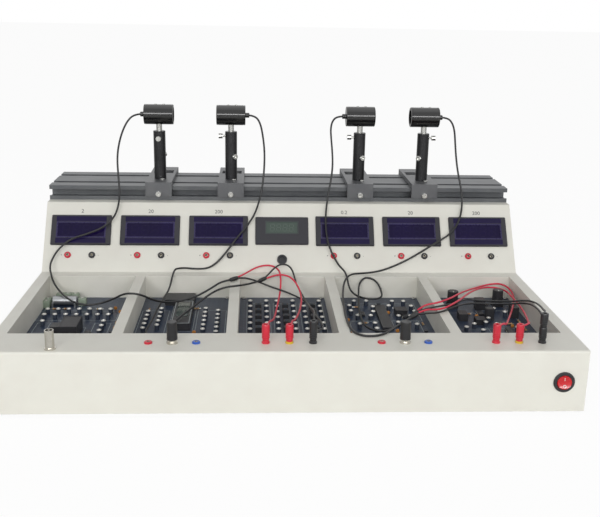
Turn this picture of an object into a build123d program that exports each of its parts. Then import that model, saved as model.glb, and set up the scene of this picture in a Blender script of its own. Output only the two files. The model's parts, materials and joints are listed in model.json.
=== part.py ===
from build123d import *
import math
import os

os.makedirs("parts", exist_ok=True)

# Cabinet: painted sheet steel, sizes in millimetres
CABINET_W = 640.0
FOOT_H = 3.0
FACE_H = 70.0
DECK_D = 281.0
PANEL_RUN = 57.7
PANEL_RISE = 82.7
TOP_D = 121.3
SHEET = 1.5
BEND_R = 2.4
BASE_SHEET = 1.5
PLATE_GAP = 0.5
FOOT_R = 9.0
FOOT_INSET = 26.0
FOOT_EDGE = 0.6
VENT_L = 60.0
VENT_W = 3.0
VENT_PITCH = 9.0
VENT_COUNT = 5

# Wells in the deck, and the circuit boards that close them
WELL_COUNT = 5
WELL_D = 210.0
SIDE_LEDGE = 14.0
DIVIDER_W = 12.5
FRONT_LEDGE = 54.0
BOARD_DROP = 29.8
WELL_WALL = 1.2
WELL_CORNER_R = 1.6
BOARD_T = 1.6
BOARD_LAP = 2.6
PILLAR_FLATS = 6.0
PILLAR_INSET = 6.0

# Parts on the boards
POINT_R = 2.7
POINT_H = 6.0
TRIMMER_SIDE = 8.0
TRIMMER_H = 9.0
ROW_PITCH = 20.6
COLUMN_PITCH = 14.8
LAB_GROUP_PITCH = 34.3
LAB_FIRST_Y = 233.0
LAB_OFF = 2.0
MODULE_ACROSS = -31.0
MODULE_DEPTH = 234.0
MODULE_R = 6.0
MODULE_L = 30.0
CHEEK_T = 2.0
KNOB_R = 6.8
KNOB_H = 16.0
KNOB_BASE_H = 6.0
KNOB_FLUTES = 12
KNOB_FLUTE_R = 1.1
KNOB_FLUTE_OUT = 0.5
KNOB_SHAFT_R = 3.0
KNOB_SHAFT_L = 10.0
KNOB_SHAFT_GAP = 0.1
KNOB_GAP = 0.3

# Panel meters
METER_H = 43.0
METER_SPACE = 12.5
METER_MARGIN = 8.5
LUX_W = 72.5
LUX_H = 40.0
LUX_SPACE = 10.25
METER_UP = 59.5
METER_LIP = 3.0
METER_BODY_INSET = 2.4
METER_BODY_D = 24.0
METER_GAP = 0.3
METER_WINDOW_INSET = 7.0
METER_CORNER_R = 1.5
METER_EDGE = 0.8
METER_WINDOW_H = 23.0
LUX_WINDOW_W = 46.0
LUX_WINDOW_H = 19.5
LUX_WINDOW_RISE = 4.5
WINDOW_SINK = 1.9
WINDOW_T = 1.2

# Sockets
JACK_R = 4.4
JACK_LIP = 2.2
JACK_EDGE = 0.8
JACK_BODY_R = 3.4
JACK_BODY_L = 17.0
JACK_BORE_R = 2.05
JACK_BORE_L = 12.0
JACK_NUT_FLATS = 9.0
JACK_NUT_H = 2.6
PANEL_JACK_SPREAD = 32.0
PANEL_JACK_UP = 24.0
LEDGE_JACK_SPREAD = 25.4
LEDGE_JACK_Y = 25.0
PROBE_R = 6.7
PROBE_UP = 18.2
PROBE_LIP = 2.5
PROBE_BODY_R = 5.6
PROBE_BODY_L = 15.0
PROBE_RECESS_R = 4.8
PROBE_PIN_R = 0.5
PROBE_PIN_OUT = 2.7
PROBE_PIN_H = 1.5
PROBE_PINS = 5
COAX_R = 4.8
COAX_H = 21.0
COAX_BASE_R = 6.0
COAX_BASE_H = 2.0
COAX_WALL = 0.9
COAX_PIN_R = 1.2
COAX_RECESS = 9.5
COAX_SINGLE_Y = 9.0
COAX_TAIL_L = 10.0
CAP_R = 5.9
CAP_RISE = 4.5
CAP_H = 20.0
CAP_DRAFT = 1.2
CAP_EDGE = 1.0
CAP_GAP = 0.15
HOLE_GAP = 0.2

# Power switch and mains inlet
SWITCH_INSET = 25.4
SWITCH_UP = 34.3
BEZEL_R = 11.6
BEZEL_LIP = 2.0
BEZEL_EDGE = 0.9
BEZEL_BODY_R = 9.8
BEZEL_BODY_L = 22.0
ROCKER_R = 8.3
ROCKER_RIM_H = 4.2
ROCKER_VALLEY = 3.0
ROCKER_RIM_W = 0.6
ROCKER_TILT = 8.0
ROCKER_DEEP = 5.5
ROCKER_GAP = 0.4
ROCKER_PIVOT = 0.5
PIN_R = 1.0
PIN_GAP = 0.1
INLET_INSET = 70.0
INLET_CORNER_R = 4.0
BLADE_OFFSET = 2.0
INLET_UP = 40.0
INLET_W = 27.0
INLET_H = 20.0
INLET_FLANGE_W = 50.0
INLET_FLANGE_H = 24.0
INLET_FLANGE_T = 2.5
INLET_D = 22.0
INLET_WALL = 2.0
INLET_RECESS = 15.0
BLADE_W = 2.0
BLADE_H = 4.0
BLADE_L = 12.0
BLADE_PITCH = 7.0
SUPPLY_W = 110.0
SUPPLY_D = 60.0
SUPPLY_H = 34.0
SUPPLY_INSET = 150.0
SUPPLY_BACK = 80.0
SUPPLY_FOLD = 2.0

# Slide rail: a flat extrusion with two slots on top and one in each long edge
RAIL_FRONT = 354.0
RAIL_D = 100.0
RAIL_H = 20.0
RAIL_SLOT_W = 10.0
RAIL_SLOT_LIP = 2.4
RAIL_SLOT_INNER_W = 14.0
RAIL_SLOT_DEEP = 6.0
EDGE_SLOT_H = 9.0
EDGE_SLOT_LIP = 3.0
EDGE_SLOT_INNER_H = 12.0
EDGE_SLOT_DEEP = 17.0
RAIL_CORE_W = 34.0
RAIL_CORE_H = 14.0
RAIL_SCREW_INSET = 32.0

# Carriages, posts and sensor heads
POST_X = (-170.0, -70.5, 110.0, 200.5)
CARRIAGE_W = 36.2
CARRIAGE_T = 6.0
CARRIAGE_GAP = 0.3
FLANGE_T = 6.0
REAR_FLANGE_T = 12.0
FLANGE_H = 19.6
TONGUE_H = 6.0
TONGUE_D = 5.0
TONGUE_UP = 1.0
CARRIAGE_SIGHT_W = 28.0
CARRIAGE_SIGHT_D = 22.0
CARRIAGE_SIGHT_CORNER_R = 1.5
CLAMP_UP = 3.6
SCREW_R = 1.9
SCREW_HEAD_R = 3.7
SCREW_HEAD_H = 4.0
SCREW_EDGE = 0.4
HEX_FLATS = 3.0
THREAD_GAP = 0.05
THREAD_END_GAP = 0.3
POST_R = 8.3
POST_H = 67.0
POST_FLOOR = 6.0
STUD_R = 3.0
STUD_L = 5.4
STUD_GAP = 0.05
POST_EDGE = 0.4
POST_BORE_GAP = 0.1
ROD_R = 4.0
ROD_IN_POST = 50.0
ROD_SHOWN = 8.8
ROD_IN_BARREL = 3.0
ROD_END_GAP = 0.3
ROD_EDGE = 0.5
BARREL_R = 13.75
BARREL_L = 40.0
BARREL_GROOVE_W = 0.8
BARREL_GROOVE_D = 0.5
BARREL_GROOVE_IN = 2.0
BARREL_EDGE = 0.6
HOOD_R = 10.0
HOOD_D = 3.0
LENS_R = 7.0
LENS_D = 9.0
GLAND_R = 3.4
GLAND_L = 5.5
LOCK_DROP = (9.2, 6.5, 6.5, 6.5)
LOCK_TURN = (0.0, -90.0, -90.0, 90.0)
LOCK_STEM = 3.6
LOCK_HEAD_R = 3.5
LOCK_HEAD_L = 5.4
LOCK_HEAD_SIDES = 16
LOCK_R = 1.5
LOCK_TIP_GAP = 0.2
SET_UP = 32.7
SET_TURN = (150.0, 33.0, 22.0, -38.0)

# Sensor cords, each split into a red and a black lead with a four-millimetre plug
CORD_R = 1.3
LEAD_R = 1.0
CORD_SIDES = 6
ARC_SHARE = 0.45
LEAD_SPREAD = 1.15
LEAD_GAP = 0.75
RED_SIDE = (-1, 1, -1, -1)
CORD_GAP = 0.3
SPLITTER_L = 14.0
SPLITTER_R = 2.7
SPLITTER_END_R = 2.4
SPLITTER_NECK_R = 1.7
SPLITTER_TAPER = 3.0
PLUG_R = 4.3
PLUG_FOOT_R = 3.7
PLUG_FOOT_H = 3.0
PLUG_EDGE = 0.5
PLUG_H = 19.2
PLUG_PIN_R = 2.0
PLUG_PIN_L = 11.0
PLUG_PIN_EDGE = 0.6
PLUG_SOCKET_L = 6.0
PLUG_GAP = 0.05
PAIRED_PLUG_H = 23.2
STACK_PLUG_H = 15.8
STACK_SOCKET_L = 12.0
BOSS_R = 1.7
BOSS_REACH = 7.3
BOSS_UP = 15.8
BOSS_ROOT = 3.0
BOSS_TURN = (14.0, 12.0, 42.0, 50.0)
PAIRED_BOSS_UP = (10.3, 17.8)
PAIRED_BOSS_TURN = (50.0, 8.0)
STACK_BOSS_UP = (13.8, 12.0)
STACK_BOSS_TURN = (12.0, 19.0)
LEAD_STRAIGHT = 9.0

# Places worked out from the sizes above
ROCKER_RIM_R = math.sqrt(ROCKER_R**2 - ROCKER_RIM_H**2)
TILT = math.radians(ROCKER_TILT)
SWITCH_STANDOUT = ROCKER_RIM_H * math.cos(TILT) + ROCKER_RIM_R * math.sin(TILT) - ROCKER_PIVOT
CARRIAGE_BACK = RAIL_FRONT + RAIL_D + CARRIAGE_GAP + REAR_FLANGE_T
FRONT_Y = SWITCH_STANDOUT - (SWITCH_STANDOUT + CARRIAGE_BACK) / 2
DECK_Z = FOOT_H + FACE_H
TOP_Z = DECK_Z + PANEL_RISE
PANEL_FOOT_Y = FRONT_Y + DECK_D
PANEL_TOP_Y = PANEL_FOOT_Y + PANEL_RUN
REAR_Y = PANEL_TOP_Y + TOP_D
PANEL_LEN = math.hypot(PANEL_RUN, PANEL_RISE)
BOARD_TOP_Z = DECK_Z - BOARD_DROP
BASE_Z = FOOT_H + BASE_SHEET
WELL_Y = FRONT_Y + FRONT_LEDGE + WELL_D / 2
WELL_W = (CABINET_W - 2 * SIDE_LEDGE - (WELL_COUNT - 1) * DIVIDER_W) / WELL_COUNT
WELL_X = [(n - (WELL_COUNT - 1) / 2) * (WELL_W + DIVIDER_W) for n in range(WELL_COUNT)]
METER_ROOM = CABINET_W / 2 - METER_MARGIN - LUX_W / 2 - LUX_SPACE
METER_W = (METER_ROOM - 2 * METER_SPACE) / 3
METER_WINDOW_W = METER_W - 2 * METER_WINDOW_INSET
METER_START = LUX_W / 2 + LUX_SPACE + METER_W / 2
LED_X = [side * (METER_START + n * (METER_W + METER_SPACE)) for side in (-1, 1) for n in range(3)]
SWITCH_X = CABINET_W / 2 - SWITCH_INSET
INLET_X = CABINET_W / 2 - INLET_INSET
SUPPLY_X = CABINET_W / 2 - SUPPLY_INSET
SUPPLY_Y = REAR_Y - SUPPLY_BACK
RAIL_L = CABINET_W
RAIL_Y = FRONT_Y + RAIL_FRONT
RAIL_TOP_Z = TOP_Z + RAIL_H
RAIL_MID_Z = TOP_Z + RAIL_H / 2
PLATE_TOP_Z = RAIL_TOP_Z + CARRIAGE_GAP + CARRIAGE_T
TOP_SLOT_Y = (RAIL_Y + RAIL_D / 4, RAIL_Y + RAIL_D * 3 / 4)
POST_Y = TOP_SLOT_Y[0]
POST_TOP_Z = PLATE_TOP_Z + POST_H
BARREL_Z = POST_TOP_Z + ROD_SHOWN + BARREL_R
CLAMP_Z = PLATE_TOP_Z - FLANGE_H + CLAMP_UP
# The gland of each head points away from its partner
GLAND_SIDE = (-1, 1, -1, 1)
# These planes face out of the deck, the slanted panel and the front
DECK = Plane((0, FRONT_Y, DECK_Z), x_dir=(1, 0, 0), z_dir=(0, 0, 1))
PANEL = Plane(
    (0, PANEL_FOOT_Y, DECK_Z), x_dir=(1, 0, 0), z_dir=(0, -PANEL_RISE, PANEL_RUN)
)
FACE = Plane((0, FRONT_Y, FOOT_H), x_dir=(1, 0, 0), z_dir=(0, -1, 0))


def place(plane, x, up, out=0.0):
    """Location of a part that stands on a plane at x, up."""
    return plane.location * Location((x, up, out))


def finish(builder, name):
    """Label a finished part and write it out."""
    builder.part.label = name
    export_step(builder.part, f"parts/{name}.step")
    print(name, len(builder.part.solids()), round(builder.part.volume))


def gather(name, piece, places):
    """One node of identical, separate solids."""
    with BuildPart() as group:
        with Locations(*places):
            add(piece)
    finish(group, name)


# Places of the sockets: the panel pairs sit under each meter, red on the left
PANEL_RED = [place(PANEL, x - PANEL_JACK_SPREAD / 2, PANEL_JACK_UP) for x in LED_X]
PANEL_BLACK = [place(PANEL, x + PANEL_JACK_SPREAD / 2, PANEL_JACK_UP) for x in LED_X]
LEDGE_RED = [place(DECK, WELL_X[n] - LEDGE_JACK_SPREAD, LEDGE_JACK_Y) for n in (1, 2, 3, 4)]
LEDGE_BLUE = [place(DECK, WELL_X[n] + LEDGE_JACK_SPREAD, LEDGE_JACK_Y) for n in (1, 3)]
LEDGE_YELLOW = [place(DECK, WELL_X[n], LEDGE_JACK_Y) for n in (2, 4)]
LEDGE_BLACK = [place(DECK, WELL_X[n] + LEDGE_JACK_SPREAD, LEDGE_JACK_Y) for n in (2, 4)]
JACK_PLACES = PANEL_RED + PANEL_BLACK + LEDGE_RED + LEDGE_BLUE + LEDGE_YELLOW + LEDGE_BLACK
CAPPED_COAX = [place(DECK, WELL_X[n], LEDGE_JACK_Y) for n in (1, 3)]
COAX_PLACES = [place(DECK, WELL_X[0], COAX_SINGLE_Y)] + CAPPED_COAX
PROBE_PLACE = place(PANEL, 0, PROBE_UP)
SWITCH_PLACE = place(FACE, SWITCH_X, SWITCH_UP)
INLET_PLANE = Plane((0, REAR_Y, FOOT_H), x_dir=(-1, 0, 0), z_dir=(0, 1, 0))
INLET_PLACE = place(INLET_PLANE, -INLET_X, INLET_UP)
RAIL_SCREW_PITCH = (RAIL_L - 2 * RAIL_SCREW_INSET) / 3
RAIL_SCREW_X = [(n - 1.5) * RAIL_SCREW_PITCH for n in range(4)]
RAIL_SCREW_PLACES = [Location((x, RAIL_Y + RAIL_D / 2, TOP_Z)) for x in RAIL_SCREW_X]


# Cabinet shell: front, deck, slanted panel, top and ends folded and welded in one
with BuildPart() as console_body:
    with BuildSketch(Plane.YZ.offset(-CABINET_W / 2)) as side_profile:
        with BuildLine():
            Polyline(
                (FRONT_Y, FOOT_H),
                (FRONT_Y, DECK_Z),
                (PANEL_FOOT_Y, DECK_Z),
                (PANEL_TOP_Y, TOP_Z),
                (REAR_Y, TOP_Z),
                (REAR_Y, FOOT_H),
                close=True,
            )
        make_face()
    extrude(amount=CABINET_W)
    folds = console_body.edges().filter_by(Axis.X).filter_by(
        lambda edge: edge.center().Z > DECK_Z - 1 and edge.center().Y < REAR_Y - 1
    )
    fillet(folds, radius=BEND_R)
    open_faces = [
        console_body.faces().sort_by(Axis.Z)[0],
        console_body.faces().sort_by(Axis.Y)[-1],
    ]
    offset(amount=-SHEET, openings=open_faces)
    with BuildSketch(Plane.XY.offset(DECK_Z)):
        with Locations(*[(x, WELL_Y) for x in WELL_X]):
            RectangleRounded(WELL_W, WELL_D, WELL_CORNER_R)
    extrude(amount=-SHEET * 2, mode=Mode.SUBTRACT)
    with BuildSketch(PANEL):
        with Locations(*[(x, METER_UP) for x in LED_X]):
            Rectangle(
                METER_W - 2 * METER_BODY_INSET + 2 * METER_GAP,
                METER_H - 2 * METER_BODY_INSET + 2 * METER_GAP,
            )
        with Locations((0, METER_UP)):
            Rectangle(
                LUX_W - 2 * METER_BODY_INSET + 2 * METER_GAP,
                LUX_H - 2 * METER_BODY_INSET + 2 * METER_GAP,
            )
    extrude(amount=-SHEET * 2, mode=Mode.SUBTRACT)
    with Locations(*JACK_PLACES):
        Cylinder(JACK_BODY_R + HOLE_GAP, SHEET * 3, mode=Mode.SUBTRACT)
    with Locations(*COAX_PLACES):
        Cylinder(COAX_R + HOLE_GAP, SHEET * 3, mode=Mode.SUBTRACT)
    with Locations(PROBE_PLACE):
        Cylinder(PROBE_BODY_R + HOLE_GAP, SHEET * 3, mode=Mode.SUBTRACT)
    with Locations(SWITCH_PLACE):
        Cylinder(BEZEL_BODY_R + HOLE_GAP, SHEET * 3, mode=Mode.SUBTRACT)
    with Locations(*RAIL_SCREW_PLACES):
        Cylinder(SCREW_R + HOLE_GAP, SHEET * 3, mode=Mode.SUBTRACT)
finish(console_body, "console_body")

# Frames that line the wells, welded under the deck and closed by the boards
FRAME_H = DECK_Z - SHEET - BOARD_TOP_Z
with BuildPart() as well_frames:
    with BuildSketch(Plane.XY.offset(BOARD_TOP_Z)):
        with Locations(*[(x, WELL_Y) for x in WELL_X]):
            RectangleRounded(
                WELL_W + 2 * WELL_WALL, WELL_D + 2 * WELL_WALL, WELL_CORNER_R + WELL_WALL
            )
            RectangleRounded(WELL_W, WELL_D, WELL_CORNER_R, mode=Mode.SUBTRACT)
    extrude(amount=FRAME_H)
finish(well_frames, "well_frames")

# Base plate and rear plate, let into the open sides of the shell
PLATE_W = CABINET_W - 2 * (SHEET + PLATE_GAP)
PLATE_D = REAR_Y - FRONT_Y - 2 * (SHEET + PLATE_GAP)
FOOT_X = CABINET_W / 2 - FOOT_INSET
FOOT_Y = (REAR_Y - FRONT_Y) / 2 - FOOT_INSET
MID_Y = (REAR_Y + FRONT_Y) / 2
with BuildPart() as bottom_plate:
    with BuildSketch(Plane.XY.offset(FOOT_H)):
        with Locations((0, MID_Y)):
            Rectangle(PLATE_W, PLATE_D)
    extrude(amount=BASE_SHEET)
finish(bottom_plate, "bottom_plate")

REAR_PLATE_H = TOP_Z - SHEET - PLATE_GAP - BASE_Z
with BuildPart() as rear_panel:
    with BuildSketch(Plane.XZ.offset(-REAR_Y + SHEET)):
        with Locations((0, BASE_Z + REAR_PLATE_H / 2)):
            Rectangle(PLATE_W, REAR_PLATE_H)
        with Locations((INLET_X, FOOT_H + INLET_UP)):
            Rectangle(INLET_W + 2 * METER_GAP, INLET_H + 2 * METER_GAP, mode=Mode.SUBTRACT)
        with Locations((-INLET_X, FOOT_H + INLET_UP)):
            with GridLocations(0, VENT_PITCH, 1, VENT_COUNT):
                SlotOverall(VENT_L, VENT_W, mode=Mode.SUBTRACT)
    extrude(amount=-SHEET)
finish(rear_panel, "rear_panel")

# Rubber feet under the base plate
with BuildPart() as foot:
    Cylinder(FOOT_R, FOOT_H, align=(Align.CENTER, Align.CENTER, Align.MIN))
    chamfer(foot.faces().sort_by(Axis.Z)[0].edges(), FOOT_EDGE)
gather(
    "rubber_feet",
    foot.part,
    [Location((x, MID_Y + y, 0)) for x in (-FOOT_X, FOOT_X) for y in (-FOOT_Y, FOOT_Y)],
)

# Cap screw with a hexagon socket, head above the plane and shank below
with BuildPart() as cap_screw:
    Cylinder(SCREW_HEAD_R, SCREW_HEAD_H, align=(Align.CENTER, Align.CENTER, Align.MIN))
    with BuildSketch(Plane.XY.offset(SCREW_HEAD_H)):
        RegularPolygon(HEX_FLATS / 2, 6, major_radius=False)
    extrude(amount=-SCREW_HEAD_H / 2, mode=Mode.SUBTRACT)
    chamfer(cap_screw.faces().sort_by(Axis.Z)[-1].outer_wire().edges(), SCREW_EDGE)


def shank(length, radius):
    """Screw shank that goes down from the plane."""
    with BuildPart() as bolt:
        Cylinder(radius, length, align=(Align.CENTER, Align.CENTER, Align.MAX))
    return bolt.part


# Screws that hold the rail, driven up through the cabinet's top
RAIL_SCREW_L = SHEET + (RAIL_H - RAIL_CORE_H) / 2
with BuildPart() as case_screws:
    with Locations(*[spot * Location((0, 0, -SHEET), (180, 0, 0)) for spot in RAIL_SCREW_PLACES]):
        add(cap_screw.part)
        add(shank(RAIL_SCREW_L, SCREW_R))
finish(case_screws, "case_screws")

# Circuit boards, the pillars that carry them and what stands on them
BOARD_W = WELL_W + 2 * BOARD_LAP
BOARD_D = WELL_D + 2 * BOARD_LAP
with BuildPart() as circuit_boards:
    with BuildSketch(Plane.XY.offset(BOARD_TOP_Z)):
        with Locations(*[(x, WELL_Y) for x in WELL_X]):
            Rectangle(BOARD_W, BOARD_D)
    extrude(amount=-BOARD_T)
finish(circuit_boards, "circuit_boards")

with BuildPart() as board_pillars:
    with BuildSketch(Plane.XY.offset(BASE_Z)):
        with Locations(*[(x, WELL_Y) for x in WELL_X]):
            with GridLocations(
                BOARD_W - 2 * PILLAR_INSET, BOARD_D - 2 * PILLAR_INSET, 2, 2
            ):
                RegularPolygon(PILLAR_FLATS / 2, 6, major_radius=False)
    extrude(amount=BOARD_TOP_Z - BOARD_T - BASE_Z)
finish(board_pillars, "board_pillars")

# Test points, as across and depth from the front: rows and columns on each board
POINTS_1 = [(-46 + 13 * n, 201 - 20 * row) for n in range(7) for row in range(2)]
POINTS_1 += [(-43, 158), (30, 158), (30, 142), (30, 126)]
POINTS_2 = [(x, top - COLUMN_PITCH * n) for x, top in ((-45, 193), (-29.5, 203)) for n in range(5)]
POINTS_2 += [(x, top - COLUMN_PITCH * n) for x, top in ((26, 204), (42, 196)) for n in range(6)]
POINTS_3 = [
    (LAB_GROUP_PITCH * group + side * ROW_PITCH / 2 + LAB_OFF, LAB_FIRST_Y - ROW_PITCH * row)
    for group in (-1, 0, 1)
    for side in (-1, 1)
    for row in range(6)
]
POINTS_4 = [(-32, 233), (-16, 233), (18, 232), (33, 232), (-40, 215), (-10, 211), (40, 213)]
POINTS_4 += [(-40, 195), (11, 214), (-12, 192), (41, 193), (-33, 178), (-17, 177), (18, 176)]
POINTS_4 += [(33, 176), (-34, 147), (-15, 150), (14, 153), (36, 146), (-15, 132)]
POINTS_5 = [(21, 204), (32, 190), (5, 168), (-2, 153), (-18, 147), (10, 147), (-30, 136), (-12, 126)]
POINTS_5 += [(32, 135)]
POINTS = (POINTS_1, POINTS_2, POINTS_3, POINTS_4, POINTS_5)
with BuildPart() as test_points:
    with BuildSketch(Plane.XY.offset(BOARD_TOP_Z)):
        for middle, points in zip(WELL_X, POINTS):
            with Locations(*[(middle + x, FRONT_Y + y) for x, y in points]):
                RegularPolygon(POINT_R, 6)
    extrude(amount=POINT_H)
finish(test_points, "test_points")

# Two turning knobs on the last board, each on a fixed base with a shaft
KNOB_AT = ((-28.0, 227.0), (33.0, 232.0))
KNOB_Z = BOARD_TOP_Z + KNOB_BASE_H
KNOB_PLACES = [Location((WELL_X[4] + x, FRONT_Y + y, KNOB_Z)) for x, y in KNOB_AT]
with BuildPart() as knob:
    with BuildSketch(Plane.XY.offset(KNOB_GAP)):
        Circle(KNOB_R)
        with PolarLocations(KNOB_R + KNOB_FLUTE_OUT, KNOB_FLUTES):
            Circle(KNOB_FLUTE_R, mode=Mode.SUBTRACT)
    extrude(amount=KNOB_H - KNOB_GAP)
    Cylinder(
        KNOB_SHAFT_R + KNOB_SHAFT_GAP,
        KNOB_SHAFT_L + KNOB_GAP,
        align=(Align.CENTER, Align.CENTER, Align.MIN),
        mode=Mode.SUBTRACT,
    )
gather("trim_knob_left", knob.part, KNOB_PLACES[:1])
gather("trim_knob_right", knob.part, KNOB_PLACES[1:])
with BuildPart() as knob_base:
    with BuildSketch():
        Rectangle(2 * KNOB_R, 2 * KNOB_R)
    extrude(amount=-KNOB_BASE_H)
    Cylinder(KNOB_SHAFT_R, KNOB_SHAFT_L, align=(Align.CENTER, Align.CENTER, Align.MIN))

# Moulded blocks on each board: across, depth from the front, width, depth, height
BLOCKS_1 = ((-3.5, 129, 21, 38, 16), (-22, 134, 10, 16, 10))
BLOCKS_2 = ((-9, 245, 38, 28, 8), (-1.5, 182.5, 23.5, 85, 9))
BLOCKS_4 = ((0, 182, 13.5, 84, 4), (24, 197, 15, 15, 8))
BLOCKS_5 = ((-25, 180, 11, 16, 9), (-6, 165, 13, 14, 7), (9, 180, 10, 10, 15))
BLOCKS_5 += ((43, 190, 9, 16, 14), (6, 219, 12, 12, 14))
BLOCKS = (BLOCKS_1, BLOCKS_2, (), BLOCKS_4, BLOCKS_5)
with BuildPart() as component_blocks:
    for middle, blocks in zip(WELL_X, BLOCKS):
        for x, depth, across, deep, tall in blocks:
            with BuildSketch(Plane.XY.offset(BOARD_TOP_Z)):
                with Locations((middle + x, FRONT_Y + depth)):
                    Rectangle(across, deep)
            extrude(amount=tall)
    with BuildSketch(Plane.XY.offset(BOARD_TOP_Z)):
        for group in (-1, 0, 1):
            for row in range(1, 6):
                trimmer_x = WELL_X[2] + LAB_GROUP_PITCH * group + LAB_OFF
                trimmer_y = FRONT_Y + LAB_FIRST_Y - ROW_PITCH * row
                with Locations((trimmer_x, trimmer_y)):
                    Rectangle(TRIMMER_SIDE, TRIMMER_SIDE)
    extrude(amount=TRIMMER_H)
    with Locations(*KNOB_PLACES):
        add(knob_base.part)
finish(component_blocks, "component_blocks")

# Metal-cased module at the rear of the first board: a case on two cheeks
MODULE_X = WELL_X[0] + MODULE_ACROSS
MODULE_Y = FRONT_Y + MODULE_DEPTH
with BuildPart() as metal_module:
    with BuildSketch(Plane.YZ.offset(MODULE_X - MODULE_L / 2)):
        with Locations((MODULE_Y, BOARD_TOP_Z + MODULE_R)):
            Circle(MODULE_R)
    extrude(amount=MODULE_L)
    with BuildSketch(Plane.YZ.offset(MODULE_X - MODULE_L / 2)):
        with Locations((MODULE_Y, BOARD_TOP_Z)):
            Rectangle(4 * MODULE_R, MODULE_R, align=(Align.CENTER, Align.MIN))
    extrude(amount=CHEEK_T)
    with BuildSketch(Plane.YZ.offset(MODULE_X + MODULE_L / 2)):
        with Locations((MODULE_Y, BOARD_TOP_Z)):
            Rectangle(4 * MODULE_R, MODULE_R, align=(Align.CENTER, Align.MIN))
    extrude(amount=-CHEEK_T)
finish(metal_module, "metal_module")


def meter(width, height, window_w, window_h, window_rise):
    """Panel meter: a bezel with a sunk window on a boxed body, standing on its plane."""
    with BuildPart() as housing:
        with BuildSketch():
            RectangleRounded(width, height, METER_CORNER_R)
        extrude(amount=METER_LIP)
        chamfer(housing.faces().sort_by(Axis.Z)[-1].edges(), METER_EDGE)
        with BuildSketch(Plane.XY.offset(METER_LIP)):
            with Locations((0, window_rise)):
                Rectangle(window_w, window_h)
        extrude(amount=-WINDOW_SINK, mode=Mode.SUBTRACT)
        with BuildSketch():
            Rectangle(width - 2 * METER_BODY_INSET, height - 2 * METER_BODY_INSET)
        extrude(amount=-METER_BODY_D)
    return housing.part


led_places = [place(PANEL, x, METER_UP) for x in LED_X]
lux_place = place(PANEL, 0, METER_UP)
with BuildPart() as meter_housings:
    with Locations(*led_places):
        add(meter(METER_W, METER_H, METER_WINDOW_W, METER_WINDOW_H, 0))
    with Locations(lux_place):
        add(meter(LUX_W, LUX_H, LUX_WINDOW_W, LUX_WINDOW_H, LUX_WINDOW_RISE))
finish(meter_housings, "meter_housings")

WINDOW_FLOOR = METER_LIP - WINDOW_SINK
with BuildPart() as led_window:
    Box(
        METER_WINDOW_W - METER_GAP,
        METER_WINDOW_H - METER_GAP,
        WINDOW_T,
        align=(Align.CENTER, Align.CENTER, Align.MIN),
    )
with BuildPart() as lux_window:
    Box(
        LUX_WINDOW_W - METER_GAP,
        LUX_WINDOW_H - METER_GAP,
        WINDOW_T,
        align=(Align.CENTER, Align.CENTER, Align.MIN),
    )
with BuildPart() as meter_windows:
    with Locations(*[place(PANEL, x, METER_UP, WINDOW_FLOOR) for x in LED_X]):
        add(led_window.part)
    with Locations(place(PANEL, 0, METER_UP + LUX_WINDOW_RISE, WINDOW_FLOOR)):
        add(lux_window.part)
finish(meter_windows, "meter_windows")

# Four-millimetre socket: a domed collar outside, a threaded body and nut behind
with BuildPart() as jack:
    with BuildSketch(Plane.XZ):
        with BuildLine():
            Polyline(
                (JACK_BORE_R, JACK_LIP),
                (JACK_R - JACK_EDGE, JACK_LIP),
                (JACK_R, JACK_LIP - JACK_EDGE),
                (JACK_R, 0),
                (JACK_BODY_R, 0),
                (JACK_BODY_R, -JACK_BODY_L),
                (0, -JACK_BODY_L),
                (0, JACK_LIP - JACK_BORE_L),
                (JACK_BORE_R, JACK_LIP - JACK_BORE_L),
                close=True,
            )
        make_face()
    revolve(axis=Axis.Z)
    with BuildSketch(Plane.XY.offset(-SHEET)):
        RegularPolygon(JACK_NUT_FLATS / 2, 6, major_radius=False)
        Circle(JACK_BODY_R, mode=Mode.SUBTRACT)
    extrude(amount=-JACK_NUT_H)
gather("jacks_red", jack.part, PANEL_RED + LEDGE_RED)
gather("jacks_black", jack.part, PANEL_BLACK + LEDGE_BLACK)
gather("jacks_blue", jack.part, LEDGE_BLUE)
gather("jacks_yellow", jack.part, LEDGE_YELLOW)

# Round probe socket with a keyed recess and five contact pins
with BuildPart() as probe_socket:
    with Locations(PROBE_PLACE):
        Cylinder(PROBE_R, PROBE_LIP, align=(Align.CENTER, Align.CENTER, Align.MIN))
        Cylinder(PROBE_BODY_R, PROBE_BODY_L, align=(Align.CENTER, Align.CENTER, Align.MAX))
    with BuildSketch(Plane(PROBE_PLACE).offset(PROBE_LIP)):
        Circle(PROBE_RECESS_R)
    extrude(amount=-PROBE_LIP, mode=Mode.SUBTRACT)
    with BuildSketch(Plane(PROBE_PLACE)):
        with PolarLocations(PROBE_PIN_OUT, PROBE_PINS):
            Circle(PROBE_PIN_R)
    extrude(amount=PROBE_PIN_H)
finish(probe_socket, "probe_socket")

# Coaxial socket: round base, tube with two bayonet studs, and a centre contact
with BuildPart() as coax_socket:
    Cylinder(COAX_BASE_R, COAX_BASE_H, align=(Align.CENTER, Align.CENTER, Align.MIN))
    Cylinder(COAX_R, COAX_H, align=(Align.CENTER, Align.CENTER, Align.MIN))
    Cylinder(COAX_R, COAX_TAIL_L, align=(Align.CENTER, Align.CENTER, Align.MAX))
    with BuildSketch(Plane.XY.offset(COAX_H)):
        Circle(COAX_R - COAX_WALL)
        Circle(COAX_PIN_R, mode=Mode.SUBTRACT)
    extrude(amount=-COAX_RECESS, mode=Mode.SUBTRACT)
gather("coax_sockets", coax_socket.part, COAX_PLACES)

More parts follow.
